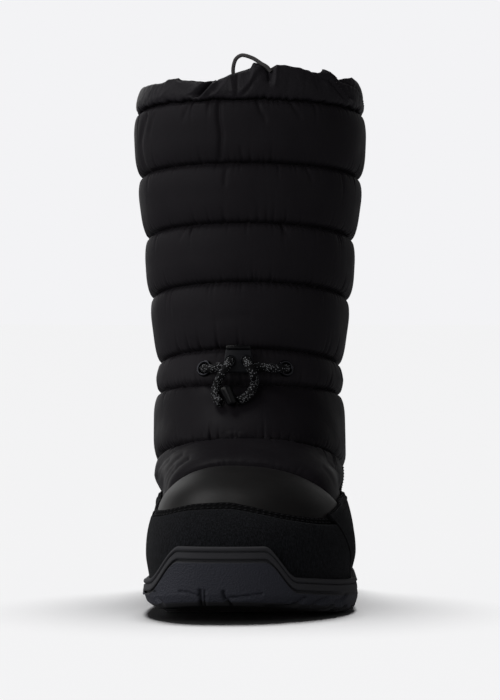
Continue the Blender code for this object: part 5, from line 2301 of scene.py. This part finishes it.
@dataclass
class AnkleDrawcord:
    """The flecked drawcord on the ankle band, with its eyelets, lock and end piece."""

    upper: Piece
    cord: float = 4.4
    gap: float = 0.45
    step: float = 0.4
    around: int = 28
    braid_depth: float = 0.16
    braid_lines: float = 6.0
    braid_pitch: float = 4.0
    eyelet_x: float = 20.7
    eyelet_z: float = 118.6
    eyelet_outer: float = 4.4
    eyelet_hole: float = 2.6
    eyelet_thick: float = 1.3
    eyelet_lift: float = 0.6
    eyelet_under: float = 0.3
    eyelet_profile: int = 14
    eyelet_steps: int = 40
    opening_lift: float = 0.05
    opening_steps: int = 32
    lock_x: float = -3.0
    lock_depth: float = 4.8
    lock_side: float = 8.0
    lock_top_side: float = 6.4
    lock_low: float = 116.6
    lock_high: float = 130.6
    lock_shoulder: float = 2.0
    lock_round: float = 0.7
    lock_entry_z: float = 119.6
    lip_wide: float = 12.6
    lip_high: float = 2.2
    lip_deeper: float = 1.1
    lip_ahead: float = 0.5
    lip_round: float = 0.8
    hole_radius: float = 2.75
    hole_bead: float = 0.42
    hole_steps: int = 28
    hole_around: int = 8
    bar_straight: float = 3.0
    bar_rise: float = 0.6
    bar_entry: float = 1.0
    bar_sunk: float = 0.6
    bar_start: Span = (0.3, 0.4)
    loop_sunk: float = 1.2
    # Radius and height of the end piece's outline, from its foot.
    end_profile: tuple[Span, ...] = (
        (0.0, -5.0), (1.9, -5.0), (2.5, -4.5), (2.7, -3.6), (3.0, 3.2), (3.1, 4.2), (2.8, 4.9), (2.2, 5.0),
        (1.7, 4.5), (0.0, 4.4),
    )
    end_steps: int = 32
    end_lean: Span = (-24.0, -12.0)
    end_shift: tuple[float, float, float] = (0.6, 0.0, -0.3)
    loops: dict[Side, tuple[RoutePoint, ...]] = field(
        default_factory=lambda: {
            Side.INNER: (
                RoutePoint(-7.0, 122.6, 1.4), RoutePoint(-8.6, 120.0, 7.8), RoutePoint(-11.4, 115.6, 6.6),
                RoutePoint(-13.7, 111.2, 3.6), RoutePoint(-14.6, 107.2, 1.2), RoutePoint(-13.6, 103.2, 0.2),
                RoutePoint(-11.4, 101.2, 0.0),
            ),
            Side.OUTER: (
                RoutePoint(1.2, 122.8, 1.4), RoutePoint(2.6, 120.2, 7.8), RoutePoint(4.6, 116.2, 6.6),
                RoutePoint(5.4, 112.0, 3.8), RoutePoint(4.2, 108.0, 1.4), RoutePoint(1.2, 104.4, 0.2),
                RoutePoint(-2.6, 102.4, 0.0),
            ),
        }
    )
    names: dict[Side, str] = field(default_factory=lambda: {Side.INNER: "medial", Side.OUTER: "lateral"})

    def __post_init__(self) -> None:
        """Reads the padding's solid and the lock's place from the frame."""
        mesh = self.upper.data
        self.tree = BVHTree.FromPolygons([v.co for v in mesh.vertices], [p.vertices for p in mesh.polygons])
        self.lock_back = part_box("cord_lock")[1].y

    def seat(self, x: float, z: float, lift: float) -> Spot:
        """A place at x and z, lifted clear of the padding, and the padding's normal there.

        Args:
            x: The place's x.
            z: Its z.
            lift: How far it is lifted.

        Returns:
            The place in metres and the normal.
        """
        hit, normal, _, _ = self.tree.ray_cast(Vector((x * MM, -1.0, z * MM)), Vector((0.0, 1.0, 0.0)))
        if normal.y > 0.0:
            normal = -normal
        return hit + Vector((0.0, lift * MM / normal.y, 0.0)), normal

    def braid(self, turn: float, length: float) -> float:
        """The relief of the braid's crossing yarns.

        Args:
            turn: The turn round the cord.
            length: The length along it.

        Returns:
            Millimetres added to the radius.
        """
        run = length / (self.cord / 2.0)
        yarns = [math.cos(self.braid_lines * turn + way * self.braid_pitch * run) for way in (1.0, -1.0)]
        return self.braid_depth * (max(yarns) - 1.0)

    def run_cord(self, name: str, points: Sequence[Vector]) -> Piece:
        """A braided cord along points.

        Args:
            name: The piece's name.
            points: The cord's line, in metres.

        Returns:
            The piece.
        """
        bm = bmesh.new()
        sweep(bm, points, self.cord / 2.0, self.around, self.braid)
        piece = add_piece(name, bm, (BRAID,), sharp=70.0)
        return piece

    @staticmethod
    def turn_round(bm: Mesh, outline: list[Vert | Edge], steps: int) -> None:
        """Turns an outline once round the z axis."""
        axis, centre = (0.0, 0.0, 1.0), (0.0, 0.0, 0.0)
        bmesh.ops.spin(bm, geom=outline, axis=axis, cent=centre, angle=TAU, steps=steps, use_merge=True)

    def eyelet(self, side: Side) -> None:
        """A rolled metal eyelet, with a near-black disc in its opening: painted shade for the dark hole
        behind it.

        Args:
            side: Its side.
        """
        centre, normal = self.seat(side.value * self.eyelet_x, self.eyelet_z, self.eyelet_lift)
        middle = (self.eyelet_outer + self.eyelet_hole) / 2.0
        half = (self.eyelet_outer - self.eyelet_hole) / 2.0
        bm = bmesh.new()
        made = bmesh.ops.create_circle(bm, segments=self.eyelet_profile, radius=1.0)
        for vert in made["verts"]:
            up = max(0.0, vert.co.y) * self.eyelet_thick + min(0.0, vert.co.y) * self.eyelet_under
            vert.co = Vector((middle + vert.co.x * half, 0.0, up)) * MM
        self.turn_round(bm, bm.verts[:] + bm.edges[:], self.eyelet_steps)
        # A flat disc in the binding's near-black closes the opening: painted shade where the hole through the
        # cloth would be dark.
        bmesh.ops.create_circle(
            bm, cap_ends=True, segments=self.opening_steps, radius=middle * MM,
            matrix=Matrix.Translation((0.0, 0.0, self.opening_lift * MM)),
        )
        # Only the opening's own face has more than four corners.
        for face in bm.faces:
            if len(face.verts) > 4:
                face.material_index = 1
        turn = Vector((0.0, 0.0, 1.0)).rotation_difference(normal).to_matrix().to_4x4()
        bmesh.ops.transform(bm, matrix=Matrix.Translation(centre) @ turn, verts=bm.verts)
        face_out(bm)
        piece = add_piece(f"rolled_eyelet_{self.names[side]}", bm, (STEEL, BINDING_AND_HOLE_SHADE))
        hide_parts(f"eyelet_{self.names[side]}")

    def bar(self, side: Side) -> None:
        """The drawcord from inside an eyelet to the side of the lock.

        Args:
            side: Its side.
        """
        lift = self.cord / 2.0 + self.gap
        above = lift + self.eyelet_thick + self.eyelet_lift + self.bar_rise
        depth = self.lock_back - self.lock_depth / 2.0 * MM
        face = self.lock_x + side.value * (self.lock_side - self.bar_entry)
        inside = [
            Vector(((face + side.value * back) * MM, depth, self.lock_entry_z * MM))
            for back in (self.bar_straight, 0.0)
        ]
        near, up = self.bar_start
        over = (
            (self.eyelet_x + self.bar_sunk, -self.bar_sunk),
            (self.eyelet_x - near, lift + up),
            (self.eyelet_x - self.eyelet_outer, above),
        )
        route = [self.seat(side.value * x, self.eyelet_z, height)[0] for x, height in over]
        piece = self.run_cord(f"braided_bar_{self.names[side]}", smooth_route(route + inside, self.step))
        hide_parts(f"drawcord_bar_{self.names[side]}")

    def loop(self, side: Side, end_piece: Piece) -> None:
        """One hanging strand, from the lock's face to the end piece.

        Args:
            side: Its side.
            end_piece: The end piece that it carries; not used.
        """
        lift = self.cord / 2.0 + self.gap
        face = self.lock_back - (self.lock_depth + self.gap) * MM
        route = self.loops[side]
        hole = route[0]
        straight = [
            Vector((hole.x * MM, face - ahead * MM, hole.z * MM)) for ahead in (-self.loop_sunk, hole.lift)
        ]
        hanging = [self.seat(p.x, p.z, lift + p.lift)[0] for p in route[1:]]
        points = smooth_route(straight + hanging, self.step)
        piece = self.run_cord(f"braided_loop_{self.names[side]}", points)
        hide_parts(f"drawcord_loop_{self.names[side]}")

    @staticmethod
    def round_edges(bm: Mesh, edges: list[Edge], width: float) -> None:
        """Rounds edges over a width, with the material of the faces beside them."""
        sizes = {"offset": width * MM, "segments": 3, "profile": 0.5}
        bmesh.ops.bevel(bm, geom=edges, affect="EDGES", material=-1, **sizes)

    def lock(self) -> None:
        """The lock: a tapered block with a lip along its top and a collar round each hole."""
        bm = bmesh.new()
        bmesh.ops.create_cube(bm, size=1.0)
        for vert in bm.verts:
            top = vert.co.z > 0.0
            half = self.lock_top_side if top else self.lock_side
            ahead = 0.0 if vert.co.y > 0.0 else self.lock_depth
            x = self.lock_x + math.copysign(half, vert.co.x)
            z = self.lock_high - self.lock_shoulder if top else self.lock_low
            vert.co = Vector((x * MM, self.lock_back - ahead * MM, z * MM))
        self.round_edges(bm, bm.edges[:], self.lock_round)
        lip = bmesh.ops.create_cube(bm, size=1.0)
        ahead, z = self.lock_depth / 2.0 + self.lip_ahead, self.lock_high - self.lip_high / 2.0
        centre = Vector((self.lock_x * MM, self.lock_back - ahead * MM, z * MM))
        size = Vector((self.lip_wide, self.lock_depth + self.lip_deeper, self.lip_high)) * MM
        for vert in lip["verts"]:
            vert.co = centre + Vector([a * b for a, b in zip(vert.co, size)])
        for face in {face for vert in lip["verts"] for face in vert.link_faces}:
            face.material_index = 1
        edges = list({edge for vert in lip["verts"] for edge in vert.link_edges})
        self.round_edges(bm, edges, self.lip_round)
        front = self.lock_back - self.lock_depth * MM
        for route in self.loops.values():
            ring = [
                Vector((route[0].x * MM, front, route[0].z * MM))
                + Vector((math.cos(turn), 0.0, math.sin(turn))) * self.hole_radius * MM
                for turn in (TAU * i / self.hole_steps for i in range(self.hole_steps + 1))
            ]
            sweep(bm, ring, self.hole_bead, self.hole_around)
        face_out(bm)
        piece = add_piece("moulded_cord_lock", bm, (PLASTIC, GLOSSY), sharp=45.0)
        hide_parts("cord_lock")

    def end_piece(self) -> Piece:
        """The end piece that grips both strands, a short leaning barrel with a rolled rim.

        Returns:
            The piece.
        """
        low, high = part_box("cord_end")
        bm = bmesh.new()
        verts = [bm.verts.new(Vector((r, 0.0, h)) * MM) for r, h in self.end_profile]
        edges = [bm.edges.new(pair) for pair in zip(verts, verts[1:])]
        self.turn_round(bm, verts + edges, self.end_steps)
        bmesh.ops.remove_doubles(bm, verts=bm.verts, dist=WELD * MM)
        roll, pitch = (
            Matrix.Rotation(math.radians(angle), 4, axis) for angle, axis in zip(self.end_lean, ("Y", "X"))
        )
        middle = Matrix.Translation((low + high) / 2.0 + Vector(self.end_shift) * MM)
        bmesh.ops.transform(bm, matrix=middle @ roll @ pitch, verts=bm.verts)
        face_out(bm)
        piece = add_piece("moulded_cord_end", bm, (GLOSSY,), sharp=50.0)
        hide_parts("cord_end")
        return piece

    def build(self) -> None:
        """Builds the drawcord and its fittings."""
        end_piece = self.end_piece()
        self.lock()
        for side in Side:
            self.eyelet(side)
            self.bar(side)
            self.loop(side, end_piece)


@dataclass
class CollarCord:
    """The thin elastic cord whose loop stands up out of the collar."""

    form: BootForm
    diameter: float = 2.0
    step: float = 0.5
    around: int = 14
    route: tuple[tuple[float, float, float], ...] = (
        (119.6, -5.0, 264.0), (120.2, -6.4, 271.0), (121.6, -5.2, 276.4), (122.8, -1.6, 278.8),
        (123.8, 3.4, 277.4), (124.6, 8.2, 274.4), (124.9, 11.2, 272.6), (124.6, 13.0, 270.4),
    )

    def build(self) -> Piece:
        """Builds the cord.

        Returns:
            The piece.
        """
        points = smooth_route([self.form.place(*p) for p in self.route], self.step)
        bm = bmesh.new()
        sweep(bm, points, self.diameter / 2.0, self.around)
        piece = add_piece("elastic_collar_cord", bm, (ELASTIC,), sharp=70.0)
        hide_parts("collar_cord")
        return piece


# The studio


class Lamp(NamedTuple):
    """A wide lamp: turn in degrees from the front towards the outer side, rise, spread and level."""

    name: str
    turn: float
    rise: float
    spread: float
    level: float
    on_paper: bool = False


@dataclass
class Studio:
    """The camera, a pale floor and soft light."""

    axis_y: float = 0.066
    distance: float = 2.0
    azimuth: float = 2.5
    camera_z: float = 0.15
    focal_px: float = 3800.0
    frame_px: float = 700.0
    horizon_px: float = 43.0
    film: float = 36.0
    floor_half: float = 30.0
    backdrop: str = "#f3f3f5"
    floor_tone: str = "#fcfcfd"
    floor_glow: str = "#848486"
    dim: float = 0.03
    lamps: tuple[Lamp, ...] = (
        Lamp("key", -42.0, 12.0, 60.0, 1.4),
        Lamp("inner_side", -90.0, 14.0, 70.0, 1.0),
        Lamp("outer_front", 45.0, 14.0, 70.0, 0.38),
        Lamp("inner_back", -165.0, 8.0, 44.0, 0.4),
        Lamp("outer_back", 150.0, 5.0, 50.0, 0.14),
        Lamp("top", -108.0, 70.0, 26.0, 1.1),
        Lamp("paper", -178.0, 64.0, 32.0, 3.2, True),
    )

    def camera(self) -> None:
        """Sets the camera at the photograph's angle."""
        data = bpy.data.cameras.new("front_camera")
        data.sensor_fit = "VERTICAL"
        data.sensor_height = self.film
        data.lens = self.focal_px / self.frame_px * self.film
        camera = bpy.data.objects.new("front_camera", data)
        turn = math.radians(self.azimuth)
        camera.location = (
            self.distance * math.sin(turn), self.axis_y - self.distance * math.cos(turn), self.camera_z
        )
        pitch = math.atan(self.horizon_px / self.focal_px)
        camera.rotation_euler = (math.pi / 2.0 - pitch, 0.0, turn)
        bpy.context.scene.collection.objects.link(camera)
        bpy.context.scene.camera = camera

    def floor(self) -> Piece:
        """Lays a plain pale floor.

        Returns:
            The floor.
        """
        bm = bmesh.new()
        bmesh.ops.create_grid(bm, x_segments=2, y_segments=2, size=self.floor_half)
        mesh = bpy.data.meshes.new("studio_floor")
        bm.to_mesh(mesh)
        bm.free()
        paint = bpy.data.materials.new("matt_white_paper")
        paint.use_nodes = True
        tree = paint.node_tree
        shader = tree.nodes["Principled BSDF"]
        seen = add_node(tree, "ShaderNodeLightPath").outputs["Is Camera Ray"]
        pair = {MIX_FIRST: linear(self.floor_glow), MIX_SECOND: linear(self.floor_tone)}
        tone = add_node(tree, "ShaderNodeMix", pair, {MIX_SHARE: seen}, data_type="RGBA")
        tree.links.new(tone.outputs[MIX_RESULT], shader.inputs["Base Color"])
        shader.inputs["Roughness"].default_value = 0.9
        shader.inputs["Specular IOR Level"].default_value = 0.1
        mesh.materials.append(paint)
        floor = bpy.data.objects.new("studio_floor", mesh)
        bpy.context.scene.collection.objects.link(floor)
        return floor

    def light(self, floor: Piece) -> None:
        """Hangs soft lamps round the boot, and one high behind it that lights the paper alone.

        Args:
            floor: The paper.
        """
        for lamp in self.lamps:
            data = bpy.data.lights.new(f"{lamp.name}_lamp", "SUN")
            data.energy, data.angle = lamp.level, math.radians(lamp.spread)
            made = bpy.data.objects.new(data.name, data)
            turn, rise = math.radians(lamp.turn), math.radians(lamp.rise)
            level = math.cos(rise)
            axis = Vector((math.sin(turn) * level, -math.cos(turn) * level, math.sin(rise)))
            made.rotation_euler = axis.to_track_quat("Z", "Y").to_euler()
            bpy.context.scene.collection.objects.link(made)
            lit = bpy.data.collections.new(f"{lamp.name}_receivers")
            lit.objects.link(floor)
            lit.collection_objects[0].light_linking.link_state = "INCLUDE" if lamp.on_paper else "EXCLUDE"
            made.light_linking.receiver_collection = lit
        self.room()

    def room(self) -> None:
        """Makes the room dim, and pale behind the boot as the camera sees it."""
        world = bpy.data.worlds.new("studio_room")
        world.use_nodes = True
        bpy.context.scene.world = world
        tree = world.node_tree
        room, paper = (
            add_node(tree, "ShaderNodeBackground", values).outputs["Background"]
            for values in ({"Strength": self.dim}, {"Color": linear(self.backdrop)})
        )
        seen = add_node(tree, "ShaderNodeLightPath").outputs["Is Camera Ray"]
        shown = add_node(tree, "ShaderNodeMixShader", links={0: seen, 1: room, 2: paper})
        tree.links.new(shown.outputs["Shader"], tree.nodes["World Output"].inputs["Surface"])

    def build(self) -> None:
        """Sets the studio up."""
        self.camera()
        self.light(self.floor())
        bpy.context.scene.view_settings.view_transform = "Standard"


def main() -> None:
    """Loads the frame, then builds and dresses the boot."""
    logging.basicConfig(level=logging.INFO)
    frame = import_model()
    form = BootForm()
    Studio().build()
    AnkleDrawcord(frame["nodes"]["upper"]).build()
    CollarCord(form).build()
    foot = QuiltedUpper(form).build()
    SuedeOverlays(form, Drape(form, foot)).build()
    UnitSole(form).build()
    Footbed(form).build()
    GatheredCollar(form).build()


if __name__ == "__main__":
    main()
